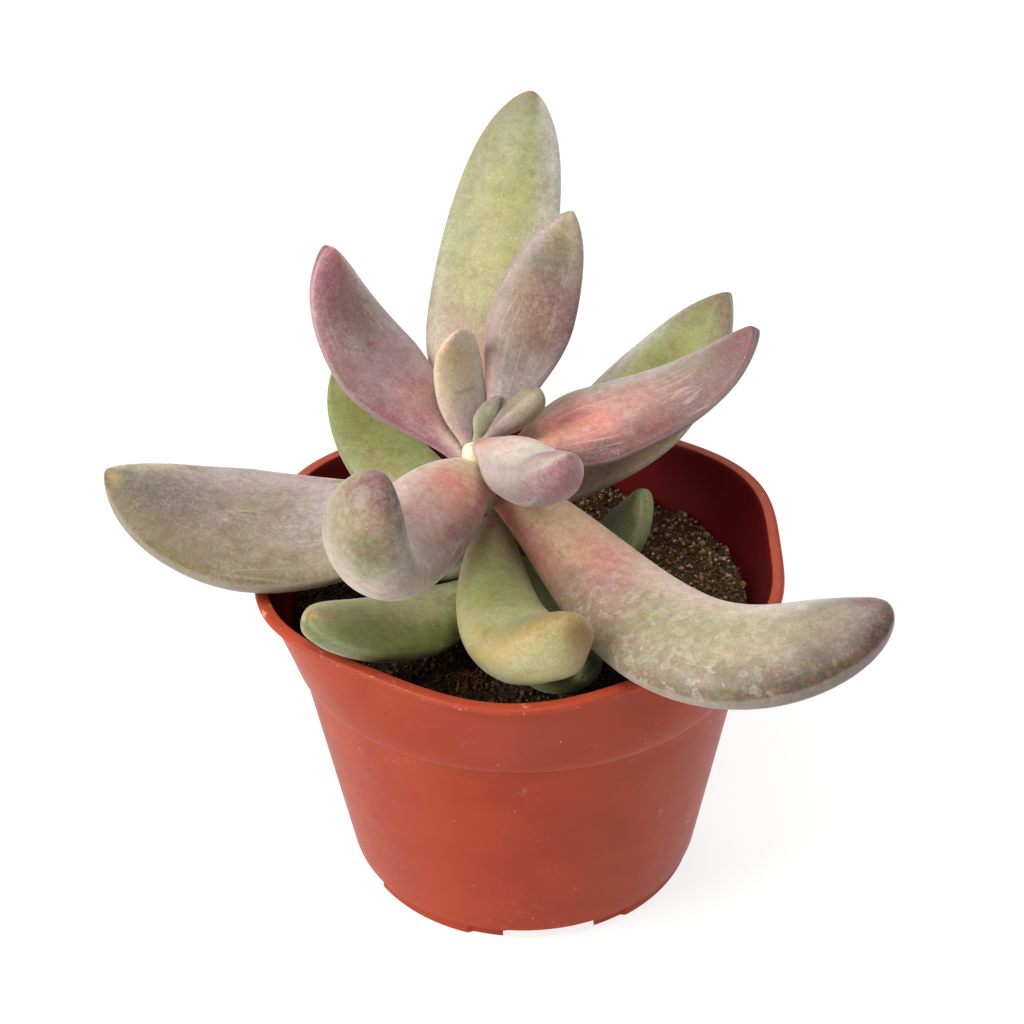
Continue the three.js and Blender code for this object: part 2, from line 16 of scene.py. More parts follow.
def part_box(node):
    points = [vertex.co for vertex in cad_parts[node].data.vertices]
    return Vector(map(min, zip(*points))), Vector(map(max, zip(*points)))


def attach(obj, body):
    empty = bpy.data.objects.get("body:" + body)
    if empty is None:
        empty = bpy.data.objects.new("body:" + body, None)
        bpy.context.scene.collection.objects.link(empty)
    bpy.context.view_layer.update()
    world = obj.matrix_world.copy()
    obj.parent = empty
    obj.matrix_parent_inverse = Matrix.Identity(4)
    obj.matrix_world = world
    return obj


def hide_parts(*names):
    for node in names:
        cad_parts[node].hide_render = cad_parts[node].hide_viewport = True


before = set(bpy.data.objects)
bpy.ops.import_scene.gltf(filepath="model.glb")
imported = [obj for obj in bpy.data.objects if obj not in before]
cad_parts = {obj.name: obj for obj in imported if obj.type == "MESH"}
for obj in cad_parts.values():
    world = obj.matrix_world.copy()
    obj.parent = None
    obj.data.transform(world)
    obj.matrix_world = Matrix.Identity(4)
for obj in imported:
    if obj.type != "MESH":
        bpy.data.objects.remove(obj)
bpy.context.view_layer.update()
MM = 0.001
pot_low, pot_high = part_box("pot")
POT_AXIS = Vector(((pot_low.x + pot_high.x) / 2, (pot_low.y + pot_high.y) / 2, 0))
print("CAD nodes:", len(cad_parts), "pot axis (mm):", [round(v / MM, 2) for v in POT_AXIS])

# %% [markdown]
# ## Camera
# The photograph was taken with a long lens, looking down at the pot by about a third of a right angle and
# tipped by one degree. A camera's matrix has its right, up and backward directions as columns, so it is
# built from those three instead of from angles. Everything is placed from the pot's axis.

# %% Camera
LOOK_DOWN = math.radians(32.5)
TIPPED = math.radians(-0.95)
CAMERA_DISTANCE = 321.5 * MM
CAMERA_TARGET = POT_AXIS + Vector((-1.47, 0, 72.85)) * MM
LENS, SENSOR, NEAREST = 63.28, 36, 0.01
backward = Vector((0, -math.cos(LOOK_DOWN), math.sin(LOOK_DOWN)))
level = Vector((1, 0, 0))
upward = Vector((0, math.sin(LOOK_DOWN), math.cos(LOOK_DOWN)))
right = level * math.cos(TIPPED) + upward * math.sin(TIPPED)
up = upward * math.cos(TIPPED) - level * math.sin(TIPPED)
camera_data = bpy.data.cameras.new("camera")
camera_data.lens = LENS
camera_data.sensor_width = SENSOR
camera_data.clip_start = NEAREST
camera = bpy.data.objects.new("camera", camera_data)
bpy.context.scene.collection.objects.link(camera)
turned = Matrix((right, up, backward)).transposed().to_4x4()
camera.matrix_world = Matrix.Translation(CAMERA_TARGET + backward * CAMERA_DISTANCE) @ turned
bpy.context.scene.camera = camera
print("camera at (mm):", [round(v / MM, 1) for v in camera.matrix_world.translation])

# %% [markdown]
# ## Light and floor
# A shop photograph like this one is made in a tent of white cloth: a big soft lamp on the left, weaker ones
# above and behind, a faint one on the right, white all round, and a white table that throws light back up
# at the undersides of the leaves. Area lamps give soft edges because every point sees a whole bright
# square.

# %% Light and floor
PLANT_MIDDLE = (POT_AXIS.x, POT_AXIS.y, 0.08)
TENT_GLOW = 0.19
FLOOR_SIZE = 6


def soft_lamp(name, place, size, power):
    lamp = bpy.data.lights.new(name, "AREA")
    lamp.shape = "SQUARE"
    lamp.size = size
    lamp.energy = power
    holder = bpy.data.objects.new(name, lamp)
    bpy.context.scene.collection.objects.link(holder)
    holder.location = place
    holder.rotation_euler = (Vector(PLANT_MIDDLE) - Vector(place)).to_track_quat("-Z", "Y").to_euler()


soft_lamp("left_lamp", (-0.75, -0.36, 0.64), 0.5, 10.0)
soft_lamp("top_lamp", (0.05, -0.25, 0.95), 0.5, 4.4)
soft_lamp("right_lamp", (0.75, -0.1, 0.5), 0.6, 0.2)
soft_lamp("back_lamp", (0.05, 0.7, 0.7), 0.5, 1.8)
world = bpy.data.worlds.new("white_tent")
world.use_nodes = True
world.node_tree.nodes["Background"].inputs["Color"].default_value = (1, 1, 1, 1)
world.node_tree.nodes["Background"].inputs["Strength"].default_value = TENT_GLOW
bpy.context.scene.world = world
bpy.context.scene.view_settings.view_transform = "Standard"

bpy.ops.object.select_all(action="DESELECT")
bpy.ops.mesh.primitive_plane_add(size=FLOOR_SIZE, location=(0, 0, 0))
floor = bpy.context.object
floor.name = "floor"
print("lamps:", len(bpy.data.lights))

# %% [markdown]
# ## Tints
# Every leaf is painted from one small box of tints, as a painter would do it, so that the leaves belong
# together. The tints were chosen by laying renders beside the photograph and correcting them until each
# leaf looked alike, because wax, shadow and lamp all change what a colour looks like.

# %% Tints
TINTS = {
    "chalk": "#e0dccc", "lime_cream": "#e0e4a0", "cream": "#e4d0a8", "shell": "#e4c8b8",
    "apricot": "#e4bc94", "putty": "#c8b8a4", "straw": "#c0bc80", "blush": "#d4aca8",
    "fresh_green": "#a8c068", "ash_pink": "#c0b0ac", "lime": "#b0b864", "ochre": "#c4ac68",
    "sand": "#b8a888", "coral": "#e49080", "sage": "#a4a87c", "dove": "#ac988c", "rose": "#c09084",
    "olive": "#8c9850", "khaki": "#9c906c", "mauve": "#a88890", "stone": "#94887c", "bronze": "#9c7848",
    "clay": "#987860", "berry": "#a86878", "lichen": "#807864", "bark": "#887068", "drab": "#807044",
    "fern": "#687438", "raspberry": "#a84854", "plum": "#845858", "maroon": "#78403c", "umber": "#584834",
    "wine": "#502424", "pine": "#405028",
}
print("tints:", len(TINTS))

# %% [markdown]
# ## Small helpers for materials
# A material is a graph of small nodes. These helpers add one node each and join it to what feeds it, so
# that a recipe reads from top to bottom. The first ones add any node, do sums, and mix colours: "paint"
# lays a colour over another one where a pattern says so, and "darken" multiplies by a colour instead, which
# keeps what is below.

# %% Node helpers
def new_material(name):
    """An empty material, its node tree, and the place of each point on the object."""
    material = bpy.data.materials.new(name)
    material.use_nodes = True
    tree = material.node_tree
    tree.nodes.clear()
    return material, tree, add_node(tree, "TexCoord").outputs["Object"]


def add_node(tree, kind, inputs=None, **settings):
    node = tree.nodes.new("ShaderNode" + kind)
    for key, value in settings.items():
        setattr(node, key, value)
    for key, value in (inputs or {}).items():
        socket = node.inputs[key]
        if isinstance(value, bpy.types.NodeSocket):
            tree.links.new(value, socket)
        else:
            socket.default_value = value
    return node


def calc(tree, operation, first, second=0.0, third=0.0):
    return add_node(tree, "Math", {0: first, 1: second, 2: third}, operation=operation).outputs[0]


def times(tree, first, second):
    return calc(tree, "MULTIPLY", first, second)


def distance_from(tree, value, middle):
    return calc(tree, "ABSOLUTE", calc(tree, "SUBTRACT", value, middle))


def linear(colour):
    """A tint's name or a #rrggbb colour as the linear light that the shader needs. Sockets pass unchanged."""
    if not isinstance(colour, str):
        return colour
    colour = TINTS.get(colour, colour)
    channels = [int(colour[i:i + 2], 16) / 255 for i in (1, 3, 5)]
    return tuple(c / 12.92 if c <= 0.04045 else ((c + 0.055) / 1.055) ** 2.4 for c in channels) + (1.0,)


def blend(tree, share, first, second, kind="MIX"):
    inputs = {0: share, 6: linear(first), 7: linear(second)}
    return add_node(tree, "Mix", inputs, data_type="RGBA", blend_type=kind, clamp_factor=True).outputs[2]


def paint(tree, shade, pattern, strength, colour):
    return blend(tree, times(tree, pattern, strength), shade, colour)


def darken(tree, shade, share, colour):
    return blend(tree, share, shade, blend(tree, 1.0, shade, colour, "MULTIPLY"))


def ramp(tree, value, stops, interpolation="EASE"):
    """A run of colours, from a value of 0 to 1. Each stop is (value, colour)."""
    node = add_node(tree, "ValToRGB", {0: value})
    node.color_ramp.interpolation = interpolation
    elements = node.color_ramp.elements
    while len(elements) < len(stops):
        elements.new(0.5)
    for element, (place, colour) in zip(elements, stops):
        element.position = place
        element.color = linear(colour)
    return node.outputs[0]


print("node helpers ready")

# %% [markdown]
# The next helpers are patterns. Noise gives clouds and grain, cells give dots, and the places where a noise
# passes through its middle value are thin wandering lines, good for veins and scratches. Sizes are in
# millimetres.

# %% Pattern helpers
def clouds(tree, vector, size_mm, detail=3.0, rough=0.55, swirl=0.0):
    inputs = {"Vector": vector, "Scale": 1 / (size_mm * MM), "Detail": detail, "Roughness": rough,
              "Distortion": swirl}
    return add_node(tree, "TexNoise", inputs).outputs["Fac"]


def between(tree, value, low, high):
    """0 at low, 1 at high, and smooth between them. With the higher value first it falls instead."""
    inputs = {"Value": value, "From Min": low, "From Max": high}
    return add_node(tree, "MapRange", inputs, interpolation_type="SMOOTHSTEP").outputs[0]


def patchy(tree, vector, low, high, size_mm, detail=3.0, rough=0.55, swirl=0.0):
    """Clouds with soft edges: 0 below low, 1 above high."""
    return between(tree, clouds(tree, vector, size_mm, detail, rough, swirl), low, high)


def dots(tree, vector, spacing_mm, size, share):
    """Small round dots: 1 inside a dot, 0 outside, in a share of the cells."""
    inputs = {"Vector": vector, "Scale": 1 / (spacing_mm * MM), "Randomness": 1.0}
    cells = add_node(tree, "TexVoronoi", inputs)
    colour = add_node(tree, "SeparateColor", {0: cells.outputs["Color"]})
    chosen = calc(tree, "LESS_THAN", colour.outputs[0], share)
    radius = calc(tree, "MULTIPLY_ADD", colour.outputs[1], size * 0.7, size * 0.5)
    inside = calc(tree, "SUBTRACT", radius, cells.outputs["Distance"])
    return times(tree, between(tree, inside, 0.0, size * 0.35), chosen)


def hairlines(tree, vector, size_mm, thin, wiggle=2.0):
    """Thin wandering lines, where a cloud pattern passes through its middle value."""
    field = clouds(tree, vector, size_mm, wiggle, 0.5)
    return between(tree, distance_from(tree, field, 0.5), thin, 0.0)


def surface(tree, colour, roughness, bumps, settings):
    """The last node: a skin's colour, roughness, layers of bump (height, depth in mm) and own settings."""
    bumpy = {}
    for height, depth_mm in bumps:
        inputs = {"Height": height, "Distance": depth_mm * MM, "Strength": 1.0, **bumpy}
        bumpy = {"Normal": add_node(tree, "Bump", inputs).outputs[0]}
    skin = {"Base Color": linear(colour), "Roughness": roughness, **bumpy, **settings}
    shader = add_node(tree, "BsdfPrincipled", skin)
    add_node(tree, "OutputMaterial", {"Surface": shader.outputs[0]})


def see_through(weight, red, green, blue, depth_mm):
    """Light that sinks in and comes out again nearby, most of all red."""
    return {"Subsurface Weight": weight, "Subsurface Radius": (red, green, blue),
            "Subsurface Scale": depth_mm * MM}


print("pattern helpers ready")

# %% [markdown]
# The table is plain white card. It glows a little, as a lit tent's floor does, so that it stays white next
# to the pot.

# %% Floor finish
material, tree, place = new_material("white_table")
card = blend(tree, clouds(tree, place, 40), "#8f8f8e", "#8a8a89")
surface(tree, card, 0.6, [(clouds(tree, place, 0.6), 0.01)],
        {"Emission Color": (1, 1, 1, 1), "Emission Strength": 0.82, "Specular IOR Level": 0.1})
floor.data.materials.append(material)
print("floor finish nodes:", len(tree.nodes))

# %% [markdown]
# ## Small helpers for pieces
# Every piece is made round the pot's axis in millimetres, and moved to its place in metres when its shape
# is done. An operator works on all that is selected, and loading the CAD model leaves it selected, so
# everything is let go first. A finished piece rides on the CAD body and may hide the plain CAD solid that
# it stands for.

# %% Piece helpers
def let_go():
    if bpy.context.object and bpy.context.object.mode != "OBJECT":
        bpy.ops.object.mode_set(mode="OBJECT")
    bpy.ops.object.select_all(action="DESELECT")


def points_of(piece):
    points = np.empty(len(piece.data.vertices) * 3)
    piece.data.vertices.foreach_get("co", points)
    return points.reshape(-1, 3)


def set_points(piece, points):
    piece.data.vertices.foreach_set("co", np.asarray(points).ravel())
    piece.data.update()


def to_place(piece):
    """From millimetres round the pot's axis to metres in the CAD frame."""
    set_points(piece, points_of(piece) * MM + np.array(POT_AXIS))


def mark(piece, name, values):
    """Keeps a number for every point, which a material can read."""
    layer = piece.data.attributes.new(name, "FLOAT", "POINT")
    layer.data.foreach_set("value", np.asarray(values, dtype=np.float32))


def apply_modifier(piece, kind, **settings):
    let_go()
    piece.select_set(True)
    bpy.context.view_layer.objects.active = piece
    modifier = piece.modifiers.new(kind.lower(), kind)
    for key, value in settings.items():
        setattr(modifier, key, value)
    bpy.ops.object.modifier_apply(modifier=modifier.name)


def finish_piece(piece, name, material, stands_for=()):
    piece.name = name
    piece.data.name = name
    piece.data.polygons.foreach_set("use_smooth", [True] * len(piece.data.polygons))
    piece.data.materials.clear()
    piece.data.materials.append(material)
    for node in stands_for:
        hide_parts(node)
    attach(piece, "root")


print("piece helpers ready")

# %% [markdown]
# Pot, stem and soil are turned like a vase: a circle is drawn out and resized ring by ring along a profile.
# Where such a shape is still open, its last ring is filled, and then every face is made to point outwards.

# %% Turning
def turned_piece(profile, sides):
    """A shape of rings round the z axis. Each point of the profile is (radius, z)."""
    let_go()
    radius, height = profile[0]
    bpy.ops.mesh.primitive_circle_add(vertices=sides, radius=radius, location=(0, 0, height))
    piece = bpy.context.object
    bpy.ops.object.transform_apply(location=True, rotation=False, scale=False)
    bpy.ops.object.mode_set(mode="EDIT")
    bpy.ops.mesh.select_all(action="SELECT")
    for next_radius, next_height in profile[1:]:
        bpy.ops.mesh.extrude_region_move(TRANSFORM_OT_translate={"value": (0, 0, next_height - height)})
        share = next_radius / radius
        bpy.ops.transform.resize(value=(share, share, 1), center_override=(0, 0, next_height))
        radius, height = next_radius, next_height
    bpy.ops.object.mode_set(mode="OBJECT")
    return piece


def face_outwards():
    """Leaves edit mode with every face pointing outwards."""
    bpy.ops.mesh.select_all(action="SELECT")
    bpy.ops.mesh.normals_make_consistent(inside=False)
    bpy.ops.object.mode_set(mode="OBJECT")


def close_ends(fill):
    """Fills the open rings of the piece in hand."""
    bpy.ops.object.mode_set(mode="EDIT")
    bpy.ops.mesh.select_all(action="DESELECT")
    bpy.ops.mesh.select_non_manifold(extend=False)
    fill()
    face_outwards()


print("turning helpers ready")

# %% [markdown]
# ## The pot
# A nursery pot is one thin moulded shell: a straight taper, a small ledge, a collar that flares into six
# soft lobes and a rounded lip. Its profile runs up the outside, over the lip and down the inside. The
# collar's points are then moved out and in by a wave, which gives the lobes. All sizes are in millimetres,
# and angles in degrees.

# %% Pot sizes
FOOT_RADIUS, FOOT_HEIGHT, FOOT_RING = 33.0, 3.0, 1.5
WALL_FOOT_RADIUS, BODY_HEIGHT, BODY_RADIUS, COLLAR_LEDGE = 33.4, 48.0, 41.4, 0.8
RIM_HEIGHT, RIM_RADIUS, LIP_WIDTH, LIP_HEIGHT, WALL = 67.0, 48.0, 1.3, 1.1, 0.9
FLARE_BEND, FLOOR_TOP, FLOOR_CORNER = 0.9, 4.0, 1
LOBES, LOBE_DEPTH, LOBE_ANGLE = 6, 0.026, math.radians(27)
NOTCHES, NOTCH_ANGLE, NOTCH_HALF, NOTCH_HEIGHT = 4, -82.5, 15.0, 3.4
PAD_HALF, PAD_HEIGHT, PAD_INSET, PAD_BLEND = 26.0, 2.9, 0.7, 0.8
POT_SIDES = 240


def smooth_step(value, low, high):
    share = np.clip((value - low) / (high - low), 0, 1)
    return share * share * (3 - 2 * share)


def lobe_share(z):
    return smooth_step(z, BODY_HEIGHT + 1, RIM_HEIGHT)


def outer_radius(z):
    if z < BODY_HEIGHT:
        return WALL_FOOT_RADIUS + (BODY_RADIUS - WALL_FOOT_RADIUS) * z / BODY_HEIGHT
    flare = (z - BODY_HEIGHT) / (RIM_HEIGHT - BODY_HEIGHT)
    ledge = BODY_RADIUS + COLLAR_LEDGE
    return ledge + (RIM_RADIUS - LIP_WIDTH - ledge) * flare ** FLARE_BEND


def inner_radius(z):
    return outer_radius(z) - WALL - (0 if z < BODY_HEIGHT else COLLAR_LEDGE * (1 - lobe_share(z)))


def lobe_wave(points):
    """How much further out the collar's wave puts each point: none at its foot, all of it at the rim."""
    angle = np.arctan2(points[:, 1], points[:, 0])
    return 1 + LOBE_DEPTH * lobe_share(points[:, 2]) * np.cos(LOBES * (angle - LOBE_ANGLE))


def lobed(points):
    wave = lobe_wave(points)
    return points * np.column_stack([wave, wave, np.ones_like(wave)])


print("wall at the ledge (mm):", outer_radius(BODY_HEIGHT), "inside:", inner_radius(BODY_HEIGHT))

# %% [markdown]
# The profile is a list of radius and height. Where an edge is rounded, two or three of its points lie a
# fraction of a millimetre apart. The turned shell is open at both ends of the profile, under the floor and
# on it, so the ring at each end is found by its place, filled and inset once, which gives the floor's two
# faces.

# %% Pot shell
foot_inside = FOOT_RADIUS - FOOT_RING
foot = [(foot_inside, FOOT_HEIGHT), (foot_inside, 1.5), (foot_inside, 0.2), (foot_inside + 0.2, 0.0)]
foot += [(FOOT_RADIUS - 0.25, 0.0), (FOOT_RADIUS, 0.25), (FOOT_RADIUS, 1.2), (FOOT_RADIUS, 2.3)]
foot += [(FOOT_RADIUS, FOOT_HEIGHT - 0.2), (outer_radius(3), FOOT_HEIGHT + 0.15), (outer_radius(3.6), 3.6)]
body = [(outer_radius(z), z) for z in np.linspace(6, BODY_HEIGHT - 1, 15)]
ledge = [(outer_radius(47.8) + 0.05, 47.8), (outer_radius(48) - 0.25, 48.1)]
ledge += [(outer_radius(48.4) - 0.05, 48.45)]
collar = [(outer_radius(z), z) for z in np.linspace(49.2, RIM_HEIGHT - LIP_HEIGHT - 0.5, 14)]
lip_foot, lip_inside = RIM_HEIGHT - LIP_HEIGHT, inner_radius(RIM_HEIGHT)
lip = [(outer_radius(lip_foot) + 0.1, lip_foot - 0.05), (RIM_RADIUS - 0.3, lip_foot)]
lip += [(RIM_RADIUS - 0.05, lip_foot + 0.2), (RIM_RADIUS, lip_foot + 0.5)]
lip += [(RIM_RADIUS - 0.12, RIM_HEIGHT - 0.25), (RIM_RADIUS - 0.4, RIM_HEIGHT - 0.04)]
lip += [(RIM_RADIUS - 0.8, RIM_HEIGHT), (lip_inside + 0.5, RIM_HEIGHT)]
lip += [(lip_inside + 0.1, RIM_HEIGHT - 0.12)]
inside_heights = [*np.linspace(RIM_HEIGHT - 0.5, BODY_HEIGHT, 14), 36.0, 24.0, 12.0, 5.0]
inside = [(inner_radius(z), z) for z in inside_heights]
floor_radius = inner_radius(5.0) - FLOOR_CORNER
profile = foot + body + ledge + collar + lip + inside + [(floor_radius, FLOOR_TOP)]
pot = turned_piece(profile, POT_SIDES)
for ring_height, ring_radius in ((FOOT_HEIGHT, foot_inside), (FLOOR_TOP, floor_radius)):
    bpy.ops.object.mode_set(mode="EDIT")
    bpy.ops.mesh.select_all(action="DESELECT")
    bpy.ops.object.mode_set(mode="OBJECT")
    for vertex in pot.data.vertices:
        at_height = abs(vertex.co.z - ring_height) < 1e-3
        vertex.select = at_height and abs(vertex.co.xy.length - ring_radius) < 1e-2
    bpy.ops.object.mode_set(mode="EDIT")
    bpy.ops.mesh.edge_face_add()
    bpy.ops.mesh.inset(thickness=6)
face_outwards()
print("pot shell rings:", len(profile), "faces:", len(pot.data.polygons))

# %% [markdown]
# The foot has four wide notches that let water drain, and beside each a pad where the ring is a little
# thinner. The pads are pressed in by moving points. The notches are cut: a rounded block takes its shape
# out of the foot.

# %% Pads, notches and lobes
points = lobed(points_of(pot))
angle = np.degrees(np.arctan2(points[:, 1], points[:, 0]))
quarter = 360 / NOTCHES
from_notch = np.abs((angle - NOTCH_ANGLE + quarter / 2) % quarter - quarter / 2)
in_pad = 1 - smooth_step(from_notch, PAD_HALF - PAD_BLEND, PAD_HALF + PAD_BLEND)
radius = np.hypot(points[:, 0], points[:, 1])
is_foot_face = (radius > FOOT_RADIUS - FOOT_RING / 2) & (points[:, 2] <= PAD_HEIGHT)
points[:, :2] *= (1 - is_foot_face * in_pad * PAD_INSET / radius)[:, None]
set_points(pot, points)

CUTTER_DEPTH, CUTTER_INSET, CUTTER_ROUND = 7, 1.2, 0.7
cutter_size = (CUTTER_DEPTH, 2 * FOOT_RADIUS * math.sin(math.radians(NOTCH_HALF)), 2 * NOTCH_HEIGHT)
for step in range(NOTCHES):
    turn = math.radians(NOTCH_ANGLE + quarter * step)
    reach = FOOT_RADIUS - CUTTER_INSET
    middle = (math.cos(turn) * reach, math.sin(turn) * reach, 0)
    let_go()
    bpy.ops.mesh.primitive_cube_add(size=1, location=middle, rotation=(0, 0, turn), scale=cutter_size)
    cutter = bpy.context.object
    bpy.ops.object.transform_apply(location=True, rotation=True, scale=True)
    apply_modifier(cutter, "BEVEL", width=CUTTER_ROUND, segments=3)
    apply_modifier(pot, "BOOLEAN", object=cutter, operation="DIFFERENCE", solver="EXACT")
    bpy.data.objects.remove(cutter)
print("pot faces after the notches:", len(pot.data.polygons))

# %% [markdown]
# The inside of the pot lies in shade, and that shade is painted into its colour as a darker red. So that
# the material can tell inside from outside, each point keeps on which side of the wall's middle it lies,
# with the lobes taken out again. Then the pot moves to its place.

# %% Inside and outside of the pot
points = points_of(pot)
plain_radius = np.hypot(points[:, 0], points[:, 1]) / lobe_wave(points)
wall_middle = np.array([(outer_radius(z) + inner_radius(z)) / 2 for z in points[:, 2]])
between_floor_and_lip = (points[:, 2] > 3.5) * (points[:, 2] < RIM_HEIGHT - 0.2)
mark(pot, "inside", smooth_step(wall_middle - plain_radius, -0.1, 0.1) * between_floor_and_lip)
to_place(pot)
print("pot box (mm):", [round(v / MM, 1) for v in pot.dimensions])

# %% [markdown]
# Moulded terracotta-red plastic: satin, a little see-through in thin places, with dust, fine scratches that
# run every way, and pale stress marks at the lip where pots are pulled apart. Inside, the shade that falls
# there is painted in as a darker red.

# %% Pot finish
material, tree, place = new_material("red_pot_plastic")
shaded_inside_share = add_node(tree, "Attribute", attribute_name="inside").outputs["Fac"]
height = add_node(tree, "SeparateXYZ", {0: place}).outputs["Z"]
shade = blend(tree, patchy(tree, place, 0.35, 0.7, 14), "#a83b18", "#9e3514")
near_lip = between(tree, height, 63.5 * MM, 67.2 * MM)
shade = paint(tree, shade, near_lip, 0.2, "#bd6350")
# Painted highlight: a thin pale line where the ledge's lower edge catches the light, broken up by soft noise.
near_ledge = between(tree, distance_from(tree, height, 48.15 * MM), 0.3 * MM, 0.1 * MM)
painted_ledge_highlight = times(tree, near_ledge, patchy(tree, place, 0.3, 0.6, 6, 4))
shade = paint(tree, shade, painted_ledge_highlight, 0.45, "#d98a70")
scuffs = times(tree, hairlines(tree, place, 8, 0.003, 0.8), patchy(tree, place, 0.55, 0.65, 9))
shade = paint(tree, shade, scuffs, 0.22, "#dd9a86")
chalky = times(tree, patchy(tree, place, 0.54, 0.7, 12, 3), patchy(tree, place, 0.54, 0.66, 0.9, 5, 0.75))
shade = paint(tree, shade, chalky, 0.18, "#e0b0a2")
stress = times(tree, near_lip, patchy(tree, place, 0.58, 0.72, 2.2, 4, 0.7))
shade = paint(tree, shade, stress, 0.5, "#e8b7a9")
for spacing, size, share in ((2.6, 0.06, 0.35), (7.0, 0.045, 0.6)):
    shade = paint(tree, shade, dots(tree, place, spacing, size, share), 0.7, "#efd9cf")
shade = paint(tree, shade, dots(tree, place, 4.1, 0.06, 0.2), 0.8, "#3a1c14")
# Painted shade: inside the walls the colour turns to a dark red, for the shade that falls there.
shade = blend(tree, shaded_inside_share, shade, "#6c161a")
rough = calc(tree, "MULTIPLY_ADD", clouds(tree, place, 5), 0.16, 0.34)
surface(tree, shade, rough, [(clouds(tree, place, 0.35, 2), 0.012), (scuffs, -0.02)],
        {**see_through(0.06, 1, 0.3, 0.15, 1.2), "Specular IOR Level": 0.16})
finish_piece(pot, "pot_shell", material, ["pot"])
SHARP_FROM = math.radians(35)
let_go()
pot.select_set(True)
bpy.context.view_layer.objects.active = pot
bpy.ops.object.shade_smooth_by_angle(angle=SHARP_FROM)
print("pot finish nodes:", len(tree.nodes))

# %% [markdown]
# ## The stem
# The stem is short, thick and olive, with rings where old leaves have dropped. It is drawn out ring by ring
# as the pot was, and leaned by sliding each ring sideways. Its top swells between the youngest leaves and
# ends in a dome.

# %% Stem shape
STEM_FOOT = np.array([1.0, -3.0, 55.0])
STEM_TOP = np.array([-8.0, -3.0, 88.5])
STEM_HEIGHTS, STEM_RADII = (30, 55, 84, 88.5), (3.2, 3.7, 3.0, 1.6)
STEM_SIDES, STEM_START, STEM_SHOULDER, RING_STEP = 40, 33.0, 86.6, 0.75
SCARS = (58.5, 61.4, 64.8, 69.3, 73.2, 77.6, 81.2, 84.6)
SCAR_HEIGHT, SCAR_REACH, TOP_SWELL = 0.15, 0.5, 0.45
DOME = [(2.35, 87.1), (2.1, 87.7), (1.7, 88.2), (1.1, 88.55), (0.1, 88.7)]


def stem_centre(z):
    share = (np.asarray(z, float) - STEM_FOOT[2]) / (STEM_TOP[2] - STEM_FOOT[2])
    return np.column_stack([STEM_FOOT[0] + share * (STEM_TOP[0] - STEM_FOOT[0]),
                            STEM_FOOT[1] + share * (STEM_TOP[1] - STEM_FOOT[1]), np.asarray(z, float)])


def stem_radius(z):
    return np.interp(z, STEM_HEIGHTS, STEM_RADII)


def scarred_radius(z):
    scar = max(math.exp(-((z - s) / SCAR_REACH) ** 2) for s in SCARS)
    swell = TOP_SWELL * float(smooth_step(z, 81, 86))
    return float(stem_radius(z)) - SCAR_HEIGHT + SCAR_HEIGHT * scar + swell


heights = np.arange(STEM_START, STEM_SHOULDER, RING_STEP)
stem = turned_piece([(scarred_radius(z), float(z)) for z in heights] + DOME, STEM_SIDES)
close_ends(bpy.ops.mesh.fill)
points = points_of(stem)
points[:, :2] += stem_centre(points[:, 2])[:, :2]
set_points(stem, points)
to_place(stem)
print("stem points:", len(points))

# %% [markdown]
# The stem is corky and brown at its foot, olive above, and cream where the young leaves leave it.

# %% Stem finish
material, tree, place = new_material("olive_stem")
height = add_node(tree, "SeparateXYZ", {0: place}).outputs["Z"]
share = between(tree, height, 56 * MM, 89 * MM)
BARK_RUN = [(0, "#4c4326"), (0.35, "#6d6a38"), (0.68, "#a19f5c"), (0.84, "#ddd6a0"), (1, "#efe4c0")]
shade = ramp(tree, share, BARK_RUN)
woody = patchy(tree, place, 0.42, 0.68, 2.5, 4, 0.65)
shade = paint(tree, shade, woody, 0.35, blend(tree, share, "#8b7a4e", "#e0cfa8"))
old_bark = between(tree, height, 80 * MM, 74 * MM)
corky = times(tree, times(tree, hairlines(tree, place, 1.6, 0.02), 0.5), old_bark)
shade = blend(tree, corky, shade, "#4a3a22")
surface(tree, shade, 0.6, [(clouds(tree, place, 0.8, 4), 0.15)], see_through(0.2, 1, 0.6, 0.3, 1.5))
finish_piece(stem, "stem_skin", material, ["stem"])
print("stem finish nodes:", len(tree.nodes))

# %% [markdown]
# ## How a leaf grows
# A leaf of this plant is a fat spoon: it climbs or sags, bends to a side, twists a little, widens and then
# rounds off. Each leaf has a row of growth numbers, the same as in the CAD model. Sizes are in millimetres
# and angles in degrees. A straight blank is made first, ring by ring, smoothed by subdivision, and then
# bent along its curve, so every leaf keeps a clean skin.

